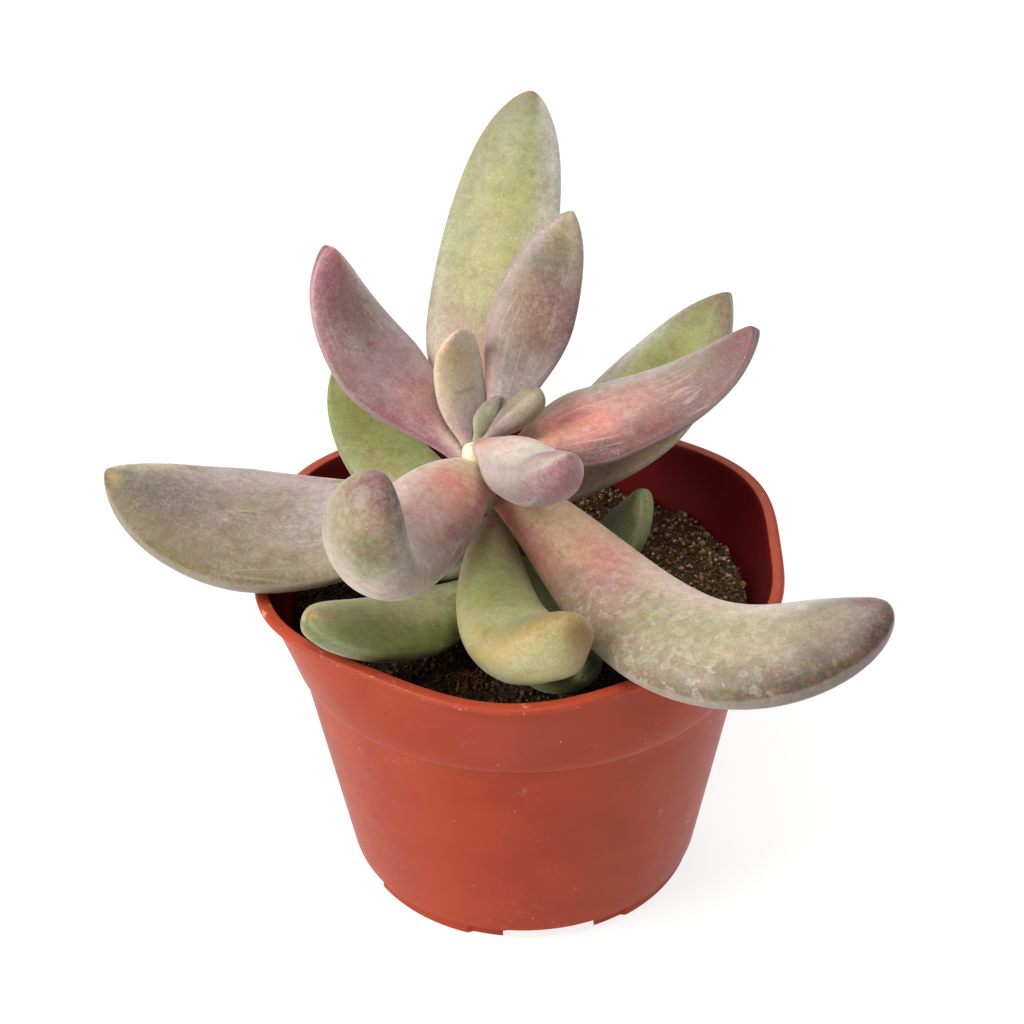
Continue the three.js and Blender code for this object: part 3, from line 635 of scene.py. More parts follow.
# %% Growth numbers of the leaves
LEAF_COLUMNS = ("height azimuth rise0 rise1 late dip turn turn_late sway length width thick "
                "widest base shoulder blunt round roll0 roll1 full").split()
LEAF_TABLE = """
leaf_back_tall     81.5 93.5 40 53 1.25 -3 -16 1.4 -6 71.5 22 7.6 .37 .28 1.4 2.1 .49 -5 10 0
leaf_back_inner    85.6 57.5 50 68 1.3 -4.5 -16 1.6 1 44 15.2 5.6 .55 .2 1.85 1.6 .65 14 23 .6
leaf_upper_left    85.1 144 38 94 2.55 8.5 -5 1.4 0 45 19 6.4 .49 .2 1.5 1.4 .59 -6 0 .6
leaf_young_back    87.5 104 42 119 1.3 -2 -5 1.5 4.5 22 10.2 4.2 .41 .38 .85 2.7 .67 27 20 0
leaf_young_right   88.8 22.5 43 38 1.4 4 1 1.4 -4.5 13 5.4 5.4 .61 .28 1.7 3 .53 3 -11 0
leaf_right_pink    83.5 21.5 21 59 2.35 15 -6 1.4 -3 52 21.8 6.4 .36 .2 1.5 1.6 .63 8 -4 .6
leaf_right_behind  73.7 45 8 69 1.4 2 -16 1.3 -3.5 59 22.2 8.9 .53 .39 1.25 1.6 .79 -2 7 .6
leaf_young_front   88.9 -49.5 16.5 60 1.8 9.3 5 1 -21.5 34.6 12.6 9.8 .43 .22 .95 3.3 .61 19 -21 0
leaf_left_long     77 185 -11 44 1.6 2.5 -12 1.4 3 66 28.4 10.6 .59 .4 1.15 1.6 .67 -6 -18 0
leaf_left_behind   70.9 134.5 -14 75 1.15 1.5 2 1.4 2 47 15.4 6.4 .46 .41 1.25 1.9 .87 -12 -24 0
leaf_curled_up     84.5 -115 10 116 2.45 11 14 1.8 4 62.5 17 11.8 .36 .38 .6 4.2 .31 -24 -24 0
leaf_front_long    81.4 -36.5 -24 37 1 3.5 89 2.1 -36 82.5 19.2 10.2 .54 .45 .95 4.3 .58 16 24 0
leaf_curled_aside  75 -93.5 -12 108 3 6 92 2.9 5 45 15.8 11.4 .73 .28 .75 2.7 .51 -15 21 0
leaf_low_left      63.8 -133 -12 35 .95 -4.5 -15 1.7 3.5 45.5 15.6 7.7 .55 .22 1.25 2.6 .42 -16 -9 .4
leaf_low_right     67.8 2.5 -62 87 .7 -4.5 2 1.4 0 27 15.6 6.6 .6 .44 1.15 1.8 1.06 -1 1 .6
leaf_low_front     66.6 -74 -24 27 1.4 1 2 1.4 1.5 33.5 15.6 8.4 .48 .4 1 2.9 .71 0 9 0
leaf_low_hidden    66.5 -175.5 -8 2 1.4 -.5 2 1.4 -.5 12.5 10.4 6.3 .58 .38 1.2 2.4 .6 -3 8 0
leaf_bud           88.8 64 52 37 1.35 2 -22 1.3 -1 8.5 4 2.2 .4 .46 1.45 1.6 .8 50 14 0
"""
LEAVES = {}
for row in LEAF_TABLE.strip().splitlines():
    words = row.split()
    LEAVES[words[0]] = dict(zip(LEAF_COLUMNS, map(float, words[1:])))
print("leaves:", len(LEAVES))

# %% [markdown]
# The growth law turns those numbers into a leaf. One function says how wide it is along its length, one how
# thick, one which way it points, and the last adds many short steps up to the curve of its middle.

# %% Growth law
LEAF_UPPER, LEAF_BASE_THICK, SEAT, AXIS_STEPS = 0.42, 0.45, 0.3, 200
TIP_KEPT, TIP_CAP, FULL_FROM = 0.93, 9, 0.6


def leaf_width(t, leaf, base):
    """How wide a leaf is at a share t of its length, against its widest. It tapers as if it went on to a
    point, but stops short of that under a round cap."""
    t = np.asarray(t, float)
    rising = base + (1 - base) * np.sin(np.pi / 2 * np.clip(t / leaf["widest"], 0, 1)) ** leaf["shoulder"]
    past = np.clip((t - leaf["widest"]) / (1 - leaf["widest"]), 0, 1)
    falling = (1 - (TIP_KEPT * past) ** leaf["blunt"]) ** leaf["round"] * np.sqrt(1 - past ** TIP_CAP)
    return np.where(t < leaf["widest"], rising, falling)


def leaf_thickness(t, leaf):
    """How thick a leaf is along its length, against its thickest. A full tip stays thick while it narrows."""
    full = leaf["full"] * smooth_step(np.asarray(t, float), FULL_FROM, 1)
    return leaf_width(t, leaf, LEAF_BASE_THICK) ** (1 - full)


def leaf_directions(leaf, t):
    """Which way the leaf points at t, and its side and upper directions there."""
    t = np.asarray(t, float)[:, None]
    azimuth = math.radians(leaf["azimuth"])
    climb = leaf["rise0"] + (leaf["rise1"] - leaf["rise0"]) * t ** leaf["late"]
    rise = np.radians(climb - leaf["dip"] * np.sin(np.pi * t))
    turn = np.radians(leaf["turn"] * t ** leaf["turn_late"] + leaf["sway"] * np.sin(np.pi * t))
    roll = np.radians(leaf["roll0"] + (leaf["roll1"] - leaf["roll0"]) * t)
    out = np.array([[math.cos(azimuth), math.sin(azimuth), 0]])
    left = np.array([[-math.sin(azimuth), math.cos(azimuth), 0]])
    sky = np.array([[0, 0, 1.0]])
    ahead = np.cos(rise) * out + np.sin(rise) * sky
    upper = np.cos(rise) * sky - np.sin(rise) * out
    along = np.cos(turn) * ahead + np.sin(turn) * left
    side = np.cos(turn) * left - np.sin(turn) * ahead
    return along, np.cos(roll) * side + np.sin(roll) * upper, np.cos(roll) * upper - np.sin(roll) * side


def leaf_axis(leaf):
    """Points along the middle of the leaf, from the stem to its tip, in mm round the pot's axis."""
    azimuth, rise = math.radians(leaf["azimuth"]), math.radians(leaf["rise0"])
    out = np.array([math.cos(azimuth), math.sin(azimuth), 0])
    half = (LEAF_UPPER if rise > 0 else 1 - LEAF_UPPER) * LEAF_BASE_THICK * leaf["thick"]
    centre = stem_centre([leaf["height"]])[0]
    lean = 0 if rise > 0 else max(0.0, float((stem_centre([leaf["height"] - half])[0] - centre) @ out))
    reach = float(stem_radius(leaf["height"])) + SEAT + half * abs(math.sin(rise)) + lean
    along, _, _ = leaf_directions(leaf, (np.arange(AXIS_STEPS) + 0.5) / AXIS_STEPS)
    steps = along * leaf["length"] / AXIS_STEPS
    return centre + out * reach + np.vstack([np.zeros(3), np.cumsum(steps, axis=0)])


print("tip of the tallest leaf (mm):", leaf_axis(LEAVES["leaf_back_tall"])[-1].round(1))

# %% [markdown]
# The blank is an oval drawn out along a straight line, with its rings crowded towards the tip, which curves
# most. Subdivision then smooths it.

# %% Leaf blank
LEAF_SIDES, LEAF_RINGS, TIP_CROWDING = 20, 28, 1.8


def leaf_blank(leaf):
    shares = 1 - (1 - np.arange(LEAF_RINGS) / LEAF_RINGS) ** TIP_CROWDING
    widths = leaf["width"] / 2 * leaf_width(shares, leaf, leaf["base"])
    depths = leaf["thick"] / 2 * leaf_thickness(shares, leaf)
    let_go()
    bpy.ops.mesh.primitive_circle_add(vertices=LEAF_SIDES, radius=1, fill_type="NGON", location=(0, 0, 0))
    blank = bpy.context.object
    bpy.ops.object.mode_set(mode="EDIT")
    bpy.ops.mesh.select_all(action="SELECT")
    bpy.ops.transform.resize(value=(widths[0], depths[0], 1), center_override=(0, 0, 0))
    for k in range(1, LEAF_RINGS):
        step = (shares[k] - shares[k - 1]) * leaf["length"]
        bpy.ops.mesh.extrude_region_move(TRANSFORM_OT_translate={"value": (0, 0, step)})
        resize = (widths[k] / widths[k - 1], depths[k] / depths[k - 1], 1)
        bpy.ops.transform.resize(value=resize, center_override=(0, 0, shares[k] * leaf["length"]))
    step = (1 - shares[-1]) * leaf["length"]
    bpy.ops.mesh.extrude_region_move(TRANSFORM_OT_translate={"value": (0, 0, step)})
    bpy.ops.mesh.merge(type="CENTER")
    face_outwards()
    apply_modifier(blank, "SUBSURF", levels=2, render_levels=2)
    return blank


print("points in one ring:", LEAF_SIDES, "rings:", LEAF_RINGS)

# %% [markdown]
# Subdivision pulls the skin inwards a little, most of all at the tip, so every point is first put back on
# the oval of its ring. Small lumps are added there, where "along" and "across" are easy to say, and then
# every point is carried to the curve. The foot of the leaf is drawn back by two millimetres, so that it
# grows out of the stem. Each point keeps where it was on the blank, so that a material can paint the tip,
# the margins or the upper side.

# %% Bending a leaf
FOOT_REACH, FOOT_FADE = 2.0, 0.03
LUMP_SCALE = (0.11, 0.16, 0.075)


def back_on_oval(t, across, over):
    """Puts points of the skin back on their ring's oval, but leaves those in the flat face of the foot."""
    reach = np.hypot(across, over)
    pull = np.where((t > 0.05) | (reach > 0.8), 1 / np.maximum(reach, 0.1), 1)
    return across * pull, over * pull


def lump_heights(points, seed):
    across, over, along = LUMP_SCALE
    return np.array([noise.fractal(Vector((p[0] * across + seed, p[1] * over, p[2] * along)), 0.9, 2.0, 3)
                     for p in points])


def bend_leaf(blank, leaf, lumps, seed):
    """Carries a straight blank along its growth curve, with lumps of some height in mm."""
    points = points_of(blank)
    t = np.clip(points[:, 2] / points[:, 2].max(), 0, 1)
    half_width = leaf["width"] / 2 * leaf_width(t, leaf, leaf["base"])
    half_depth = leaf["thick"] / 2 * leaf_thickness(t, leaf)
    across = points[:, 0] / np.maximum(half_width, 0.02)
    over = points[:, 1] / np.maximum(half_depth, 0.02)
    across, over = back_on_oval(t, across, over)
    fade = smooth_step(t, 0.0, 0.12) * smooth_step(1 - t, 0.0, 0.06)
    wave = lump_heights(points, seed) * lumps * fade
    depth = np.where(over > 0, 2 * LEAF_UPPER, 2 * (1 - LEAF_UPPER)) * over * half_depth
    depth = depth + (wave - lumps * 0.4 * fade) * over
    axis = leaf_axis(leaf)
    spot = np.clip(t * AXIS_STEPS, 0, AXIS_STEPS - 1e-6)
    low = spot.astype(int)
    centre = axis[low] + (axis[low + 1] - axis[low]) * (spot - low)[:, None]
    along, side, upper = leaf_directions(leaf, t)
    centre = centre - along * (FOOT_REACH * (1 - smooth_step(t, 0, FOOT_FADE)))[:, None]
    set_points(blank, centre + side * (across * half_width)[:, None] + upper * depth[:, None])
    growth = blank.data.attributes.new("growth", "FLOAT_VECTOR", "POINT")
    growth.data.foreach_set("vector", np.column_stack([t, across, over]).astype(np.float32).ravel())


print("leaf maker ready")

# %% [markdown]
# ## Skin of a leaf
# The real leaves are never one green. The skin is built up in layers, as a glaze is. At the bottom lies a
# run of tints along the leaf, mixed from its middle out to each margin and round to its underside, with the
# borders made to wander by noise. Over it come patches of another tint, each with a ragged edge.

# %% Leaf skin: colours and patches
def speckled(tree, place, grain_mm, patch_mm, low, high):
    """Fine grains that gather in soft patches."""
    grains = patchy(tree, place, 0.42, 0.64, grain_mm, 5, 0.7)
    return times(tree, grains, patchy(tree, place, low, high, patch_mm, 4, 0.6))


def tint_run(words):
    """Stops for a ramp from words such as "0 rose, 0.5 sand, 1 clay"."""
    stops = [stop.split() for stop in words.split(",")]
    return [(float(share), tint) for share, tint in stops]


def leaf_colours(tree, place, parts, spine, left, right, under):
    """The colours of the leaf. Parts are the shares along, across and over it."""
    along, across, over = parts
    drift = calc(tree, "SUBTRACT", clouds(tree, place, 9, 2), 0.5)
    along = calc(tree, "MULTIPLY_ADD", drift, 0.14, along)
    wander = calc(tree, "SUBTRACT", clouds(tree, place, 5, 4, 0.6), 0.5)
    across = calc(tree, "MULTIPLY_ADD", wander, 0.7, across)
    shade = ramp(tree, along, tint_run(spine))
    # The margin and underside runs hold painted light and shade as well as the leaf's own colours.
    shade = blend(tree, between(tree, across, 0.2, 0.95), shade, ramp(tree, along, tint_run(left)))
    shade = blend(tree, between(tree, across, -0.2, -0.95), shade, ramp(tree, along, tint_run(right)))
    return blend(tree, between(tree, over, 0.05, -0.6), shade, ramp(tree, along, tint_run(under)))


def leaf_patch(tree, place, parts, shade, patch):
    """A ragged patch. It has a place along and across, a reach in both, a tint and a strength."""
    at_along, at_across, reach_along, reach_across, tint, strength = patch
    off_along = calc(tree, "DIVIDE", calc(tree, "SUBTRACT", parts[0], at_along), reach_along)
    off_across = calc(tree, "DIVIDE", calc(tree, "SUBTRACT", parts[1], at_across), reach_across)
    squares = calc(tree, "ADD", times(tree, off_along, off_along), times(tree, off_across, off_across))
    ragged = calc(tree, "SUBTRACT", clouds(tree, place, 4, 5, 0.62), 0.5)
    far = calc(tree, "MULTIPLY_ADD", ragged, 1.2, calc(tree, "SQRT", squares))
    return paint(tree, shade, between(tree, far, 1.1, 0.2), strength, tint)


print("leaf colours ready")

# %% [markdown]
# Next come red and green speckles, then the wax: a thin pale bloom that is grainy and worn away in places.
# Under fingers it is rubbed off, which leaves the skin deeper in colour there. A fine mottling breaks up
# what is left.

# %% Leaf skin: speckles and wax
def leaf_speckles(tree, place, shade, blotch, red, green):
    shade = paint(tree, shade, speckled(tree, place, 1.6, 5, 0.36, 0.66), blotch, red)
    return paint(tree, shade, speckled(tree, place, 1.4, 6, 0.62, 0.34), blotch, green)


def leaf_wax(tree, place, shade, wax, wax_tint, mottle):
    """The waxed colour, and the veil of wax itself, which also changes how rough the skin is."""
    worn = patchy(tree, place, 0.34, 0.66, 8, 4, 0.55)
    grain = patchy(tree, place, 0.4, 0.62, 0.55, 3, 0.7)
    kept = calc(tree, "MULTIPLY_ADD", worn, 0.7, 0.3)
    veil = times(tree, calc(tree, "MULTIPLY_ADD", grain, 0.75, 0.25), kept)
    shade = paint(tree, shade, veil, wax, wax_tint)
    rubbed = patchy(tree, place, 0.56, 0.68, 4.5, 5, 0.6, 0.3)
    shade = darken(tree, shade, times(tree, rubbed, 0.2), "#a8977e")
    mottled = patchy(tree, place, 0.36, 0.64, 1.5, 5, 0.75)
    return darken(tree, shade, times(tree, mottled, mottle), "#a08f86"), veil


print("leaf wax ready")

# %% [markdown]
# The marks come last. Pale ribs run along the leaf, so their pattern is stretched: it reads how far along
# and across the leaf a point is, not its place. Drops of hard water have dried to pale spots with a ring.
# There are flecks, dark pits, hairline scratches and a pale rim along the margins, which is partly the
# thin edge of the wax and partly painted sheen, and a fine grain over everything.

# %% Leaf skin: marks
def leaf_ribs(tree, place, growth, along, size):
    """Ribs along the leaf, fading towards its base and tip. Size is the leaf's length and width in mm."""
    squeeze = (size[0] * 0.1 * MM, size[1] / 2 * MM, 0)
    stretched = add_node(tree, "VectorMath", {0: growth, 1: squeeze}, operation="MULTIPLY").outputs[0]
    ribs = times(tree, hairlines(tree, stretched, 3.4, 0.035, 1.2), patchy(tree, place, 0.46, 0.6, 7, 3))
    return times(tree, ribs, between(tree, distance_from(tree, along, 0.42), 0.46, 0.3))


def water_marks(tree, place, along, over):
    """Dried drops on the upper side of the leaf, past its base: a pale inside and a paler ring."""
    field = clouds(tree, place, 1.9, 1.0, 0.5)
    inside = between(tree, field, 0.585, 0.605)
    ring = between(tree, distance_from(tree, field, 0.6), 0.025, 0.004)
    drops = calc(tree, "MULTIPLY_ADD", inside, 0.4, times(tree, ring, 0.45))
    where = times(tree, between(tree, along, 0.22, 0.36), between(tree, along, 0.9, 0.66))
    return times(tree, drops, times(tree, where, between(tree, over, -0.2, 0.3)))


def leaf_marks(tree, place, across, shade, lines, fleck, scratch, rim):
    flecks = times(tree, dots(tree, place, 0.75, 0.2, 0.3), patchy(tree, place, 0.5, 0.65, 5))
    shade = paint(tree, shade, flecks, fleck, "#efe4cf")
    shade = paint(tree, shade, dots(tree, place, 2.3, 0.07, 0.16), 0.5, "#4a332c")
    shade = paint(tree, shade, lines, scratch, "#ecdcd2")
    # The pale rim is partly the thin edge of the wax and partly painted sheen, the glow wax gives at grazing
    # angles.
    edge = between(tree, calc(tree, "ABSOLUTE", across), 0.97, 1.0)
    shade = paint(tree, shade, edge, rim, "#ddd2ca")
    speck = patchy(tree, place, 0.35, 0.65, 0.42, 2, 0.6)
    return darken(tree, shade, calc(tree, "MULTIPLY_ADD", speck, -0.2, 0.2), "#8f8680")


print("leaf marks ready")

# %% [markdown]
# The recipe puts the layers together for one leaf. Living skin lets a little light in, and the wax gives it
# a faint sheen at grazing angles, as on a plum.

# %% Leaf skin: recipe
def leaf_skin(name, size, spine, left, right, under, patches=(), wax=0.25, wax_tint="#cfc8c2", fleck=0.35,
              scratch=0.1, water=0.0, veins=0.2, red="#9a5a58", green="#8a8f45", blotch=0.25, rim=0.2,
              mottle=0.22):
    material, tree, place = new_material(name)
    growth = add_node(tree, "Attribute", attribute_name="growth").outputs["Vector"]
    parts = add_node(tree, "SeparateXYZ", {0: growth}).outputs
    along, across, over = parts
    shade = leaf_colours(tree, place, parts, spine, left, right, under)
    for patch in patches:
        shade = leaf_patch(tree, place, parts, shade, patch)
    shade = leaf_speckles(tree, place, shade, blotch, red, green)
    shade, veil = leaf_wax(tree, place, shade, wax, wax_tint, mottle)
    ribs = leaf_ribs(tree, place, growth, along, size)
    shade = paint(tree, shade, ribs, veins, "#ddd2c8")
    if water:
        shade = paint(tree, shade, water_marks(tree, place, along, over), water, "#d8d2c6")
    lines = times(tree, hairlines(tree, place, 7, 0.0022, 0.5), patchy(tree, place, 0.6, 0.66, 3, 2))
    shade = leaf_marks(tree, place, across, shade, lines, fleck, scratch, rim)
    bumps = [(clouds(tree, place, 2.2, 3, 0.5), 0.07), (clouds(tree, place, 0.45, 2), 0.02), (ribs, 0.03)]
    surface(tree, shade, calc(tree, "MULTIPLY_ADD", veil, 0.22, 0.37), bumps + [(lines, 0.03)],
            {**see_through(0.18, 1.0, 0.55, 0.3, 1.6), "Specular IOR Level": 0.35, "Sheen Weight": 0.32,
             "Sheen Roughness": 0.35, "Sheen Tint": (1, 0.96, 0.93, 1)})
    return material


print("leaf recipe ready")

# %% [markdown]
# Now the colours of each leaf. The spine is the middle of its upper side, left and right are its margins,
# and under is its underside: each is a run of tints from base (0) to tip (1). These runs also hold painted
# light and shade: a margin on the lit side is paler, one on the shaded side darker, and some stretches are
# lightened where a shadow falls on them. Then come its patches, each with its place along and across the
# leaf, its reach in both, its tint and its strength, and at last what differs from the recipe.

# %% Leaf colours
SKINS = {
    "leaf_back_tall": dict(
        spine="0 rose, 0.3 sand, 0.45 straw, 0.7 straw, 0.92 sage, 1 clay",
        left="0.3 putty, 0.6 sage, 1 khaki", right="0.3 putty, 0.7 chalk, 1 chalk", under="0 blush, 1 sage",
        patches=[(0.25, 0.2, 0.1, 1.2, "coral", 0.55), (0.36, 0.5, 0.08, 0.4, "rose", 0.45),
                 (0.72, -0.1, 0.25, 0.6, "lime", 0.35)],
        blotch=0.35, wax=0.22, veins=0.1, red="clay", green="olive", fleck=0.6),
    "leaf_back_inner": dict(
        spine="0 dove, 0.35 stone, 0.6 clay, 0.8 lichen, 0.94 sand, 1 straw",
        left="0.2 blush, 0.6 dove, 1 dove", right="0.2 ash_pink, 0.6 plum, 1 putty", under="0 dove, 1 stone",
        patches=[(0.62, -0.3, 0.2, 0.5, "maroon", 0.5), (0.87, 0, 0.09, 0.6, "drab", 0.6),
                 (0.3, -0.1, 0.15, 0.4, "bark", 0.5)],
        blotch=0.4, veins=0.14, wax=0.26, red="maroon", green="khaki", scratch=0.05),
    "leaf_upper_left": dict(
        spine="0 shell, 0.25 rose, 0.45 mauve, 0.7 bark, 0.9 berry, 1 coral",
        left="0.15 berry, 0.5 plum, 0.85 berry, 1 berry", right="0.2 blush, 0.6 ash_pink, 1 chalk",
        under="0 sand, 0.5 dove, 1 plum",
        patches=[(0.2, 0.3, 0.1, 0.6, "raspberry", 0.55), (0.56, 0.1, 0.035, 0.12, "maroon", 0.8),
                 (0.62, 0.2, 0.2, 0.35, "plum", 0.5)],
        blotch=0.5, veins=0.2, wax=0.26, red="raspberry", green="stone"),
    "leaf_young_back": dict(
        spine="0 mauve, 0.4 putty, 0.7 cream, 0.85 cream, 1 chalk", left="0 blush, 0.6 cream, 1 apricot",
        right="0 ash_pink, 0.6 chalk, 1 chalk", under="0 ash_pink, 1 sand",
        patches=[(0.43, 0, 0.03, 0.55, "dove", 0.75), (0.7, 0.3, 0.15, 0.4, "straw", 0.5)],
        wax=0.32, blotch=0.15, veins=0.15),
    "leaf_young_right": dict(
        spine="0 mauve, 0.5 lichen, 1 khaki", left="0 mauve, 1 khaki", right="0 mauve, 1 sand",
        under="0 mauve, 1 khaki",
        wax=0.32, blotch=0.15),
    "leaf_bud": dict(
        spine="0 sage, 1 lichen", left="0 sage, 1 lichen", right="0 sage, 1 lichen",
        under="0 olive, 1 lichen",
        wax=0.25, blotch=0.1),
    "leaf_right_pink": dict(
        spine="0 apricot, 0.3 coral, 0.5 rose, 0.75 bark, 1 plum",
        left="0.1 shell, 0.5 chalk, 0.85 ash_pink, 1 plum", right="0.1 wine, 0.5 maroon, 0.8 bark, 1 plum",
        under="0 plum, 0.5 clay, 1 bark",
        patches=[(0.3, -0.35, 0.14, 0.35, "coral", 0.4), (0.28, 0.3, 0.12, 0.5, "raspberry", 0.4),
                 (0.55, -0.45, 0.1, 0.2, "maroon", 0.4), (0.72, 0.2, 0.14, 0.35, "sage", 0.35)],
        blotch=0.45, scratch=0.25, veins=0.3, wax=0.22, red="raspberry", green="clay", mottle=0.25),
    "leaf_right_behind": dict(
        spine="0 sand, 0.4 straw, 0.8 lime, 1 drab", left="0.1 cream, 0.7 chalk, 1 khaki",
        right="0.1 shell, 0.5 cream, 1 khaki", under="0 blush, 0.5 sand, 1 sage",
        patches=[(0.7, 0.2, 0.3, 0.6, "lime", 0.5)],
        blotch=0.45, wax=0.2, veins=0.15),
    "leaf_young_front": dict(
        spine="0 rose, 0.3 shell, 0.65 chalk, 0.85 mauve, 1 berry", left="0 shell, 0.5 putty, 1 berry",
        right="0 shell, 0.4 ash_pink, 0.75 dove, 1 dove",
        under="0 ash_pink, 0.4 ash_pink, 0.7 mauve, 1 berry",
        patches=[(0.2, 0.6, 0.15, 0.4, "rose", 0.5), (0.93, 0, 0.1, 1, "berry", 0.6)],
        wax=0.3, wax_tint="chalk", veins=0.5, blotch=0.35, scratch=0.15, red="raspberry", rim=0.1),
    "leaf_left_long": dict(
        spine="0 mauve, 0.3 ash_pink, 0.55 dove, 0.8 bark, 0.95 lichen, 1 bronze",
        left="0.2 sand, 0.6 drab, 1 drab", right="0.2 blush, 0.6 ash_pink, 1 cream",
        under="0 bark, 0.5 clay, 1 drab",
        patches=[(0.6, 0.2, 0.2, 0.6, "drab", 0.45), (0.85, 0.1, 0.12, 0.5, "umber", 0.4),
                 (0.98, 0.2, 0.04, 0.6, "ochre", 0.7)],
        blotch=0.5, wax=0.26, veins=0.15, red="plum", green="fern", mottle=0.3),
    "leaf_left_behind": dict(
        spine="0 lime, 0.4 straw, 0.8 lime, 1 straw", left="0 lime, 1 olive", right="0 lime, 1 lime",
        under="0 lime, 1 olive",
        patches=[(0.55, -0.3, 0.25, 0.6, "fresh_green", 0.6)],
        wax=0.2, veins=0.5, blotch=0.4),
    "leaf_curled_up": dict(
        spine="0 cream, 0.18 coral, 0.35 rose, 0.6 dove, 0.85 khaki, 1 plum",
        left="0 coral, 0.3 maroon, 0.6 bark, 0.85 lichen, 1 wine",
        right="0 chalk, 0.3 shell, 0.6 dove, 1 bark",
        under="0 rose, 0.5 sand, 0.75 putty, 0.92 khaki, 1 plum",
        patches=[(0.86, 0.6, 0.07, 0.4, "fern", 0.8), (0.12, 0.3, 0.1, 0.5, "apricot", 0.5),
                 (0.99, 0.3, 0.04, 1, "plum", 0.7)],
        blotch=0.5, wax=0.25, veins=0.2, red="raspberry", green="sage", rim=0.1, mottle=0.28),
    "leaf_front_long": dict(
        spine="0 apricot, 0.2 apricot, 0.35 rose, 0.5 sand, 0.7 sand, 0.88 stone, 1 plum",
        left="0.1 apricot, 0.5 shell, 0.85 chalk, 1 mauve", right="0.1 coral, 0.4 khaki, 0.8 umber, 1 wine",
        under="0 apricot, 0.5 sage, 0.85 umber, 1 wine",
        patches=[(0.28, 0.3, 0.12, 0.6, "coral", 0.6), (0.58, 0.1, 0.2, 0.7, "sage", 0.55),
                 (0.83, 0, 0.1, 0.5, "khaki", 0.6), (0.68, 0.3, 0.1, 0.4, "sage", 0.4),
                 (0.97, 0, 0.05, 1, "plum", 0.6)],
        blotch=0.3, water=0.4, wax=0.22, veins=0.15, red="raspberry", green="olive", mottle=0.28),
    "leaf_curled_aside": dict(
        spine="0 shell, 0.2 straw, 0.45 lime, 0.8 lime_cream, 1 ochre", left="0 sand, 0.4 straw, 1 ochre",
        right="0 sand, 0.4 straw, 0.8 ochre, 1 ochre", under="0 khaki, 0.5 straw, 0.85 straw, 1 bronze",
        patches=[(0.8, -0.3, 0.08, 0.6, "lime", 0.5), (0.96, -0.6, 0.04, 0.6, "bronze", 0.4),
                 (0.35, -0.2, 0.16, 0.7, "fresh_green", 0.5)],
        blotch=0.3, water=0.15, wax=0.2, veins=0.15, rim=0, green="olive", mottle=0.15),
    "leaf_low_left": dict(
        spine="0 olive, 0.4 lime_cream, 0.8 olive, 1 drab", left="0 fern, 0.7 fresh_green, 1 fern",
        right="0 lime, 0.7 lime, 1 ochre", under="0 fern, 1 fern",
        patches=[(0.45, 0, 0.25, 0.5, "lime_cream", 0.4), (0.98, 0, 0.03, 1, "ochre", 0.6)],
        blotch=0.45, wax=0.2, veins=0.25, rim=0.08),
    "leaf_low_right": dict(
        spine="0 pine, 0.6 pine, 1 fern", left="0 pine, 1 olive", right="0 pine, 1 fern",
        under="0 pine, 1 olive",
        wax=0.14, veins=0.3, rim=0.12),
    "leaf_low_front": dict(
        spine="0 fresh_green, 1 fresh_green", left="0 fresh_green, 1 pine",
        right="0 fresh_green, 1 fresh_green", under="0 fern, 1 fresh_green",
        wax=0.18),
    "leaf_low_hidden": dict(
        spine="0 lime_cream, 1 lime_cream", left="0 chalk, 1 chalk", right="0 chalk, 1 chalk",
        under="0 straw, 1 lime_cream",
        wax=0.25),
}
DEFAULT_LUMPS = 0.2
LUMPS = {"leaf_young_front": 0.45, "leaf_curled_aside": 0.4, "leaf_bud": 0.05, "leaf_young_right": 0.12}

# %% [markdown]
# With numbers, maker and recipe at hand, each leaf is made, bent, moved to its place and painted in one go.
# Its number in the list shifts its noise, so that no two leaves have the same lumps.

# %% Grow the leaves
SEED_STEP = 7.3
for number, (name, leaf) in enumerate(LEAVES.items()):
    blank = leaf_blank(leaf)
    bend_leaf(blank, leaf, LUMPS.get(name, DEFAULT_LUMPS), number * SEED_STEP)
    to_place(blank)
    finish = leaf_skin(name + "_colours", (leaf["length"], leaf["width"]), **SKINS[name])
    finish_piece(blank, name + "_skin", finish, [name])
print("leaves grown:", len(LEAVES))

# %% [markdown]
# ## Soil
# Peat with tan grit. The body of the soil is a plug: it is turned in a few rings up the wall of the pot and
# then in many narrow ones in to its middle, and the points of its top are lifted by waves and noise.

# %% Soil plug
SOIL_HEIGHT, SOIL_SLOPE, SOIL_WAVES, SOIL_CRUMBLE = 55.0, 0.012, 0.45, 0.55
SOIL_SIDES, SOIL_RINGS, WALL_GAP = 120, 40, 0.3


def soil_top(x, y):
    waves = np.sin(x * 0.21 + 1) * np.cos(y * 0.24) + 0.6 * np.sin(x * 0.47 - y * 0.39 + 2)
    return SOIL_HEIGHT - SOIL_SLOPE * y + SOIL_WAVES * waves


plug_radius = inner_radius(54) - 2 * WALL_GAP
plug_side = [(inner_radius(z) - WALL_GAP, z) for z in (40.0, 47.0, 51.0)] + [(plug_radius, 54.0)]
plug_top = [(plug_radius * (1 - k / SOIL_RINGS), 54.2) for k in range(1, SOIL_RINGS)]
soil = turned_piece(plug_side + plug_top, SOIL_SIDES)
close_ends(bpy.ops.mesh.edge_face_add)
points = points_of(soil)
is_top = points[:, 2] > 54.1
crumble = np.array([noise.fractal(Vector((x * 0.55, y * 0.55, 3.1)), 0.7, 2.1, 4) for x, y in points[:, :2]])
lifted = soil_top(points[:, 0], points[:, 1]) + SOIL_CRUMBLE * crumble
points[:, 2] = np.where(is_top, lifted, points[:, 2])
set_points(soil, lobed(points))
to_place(soil)
print("soil plug points:", len(points))

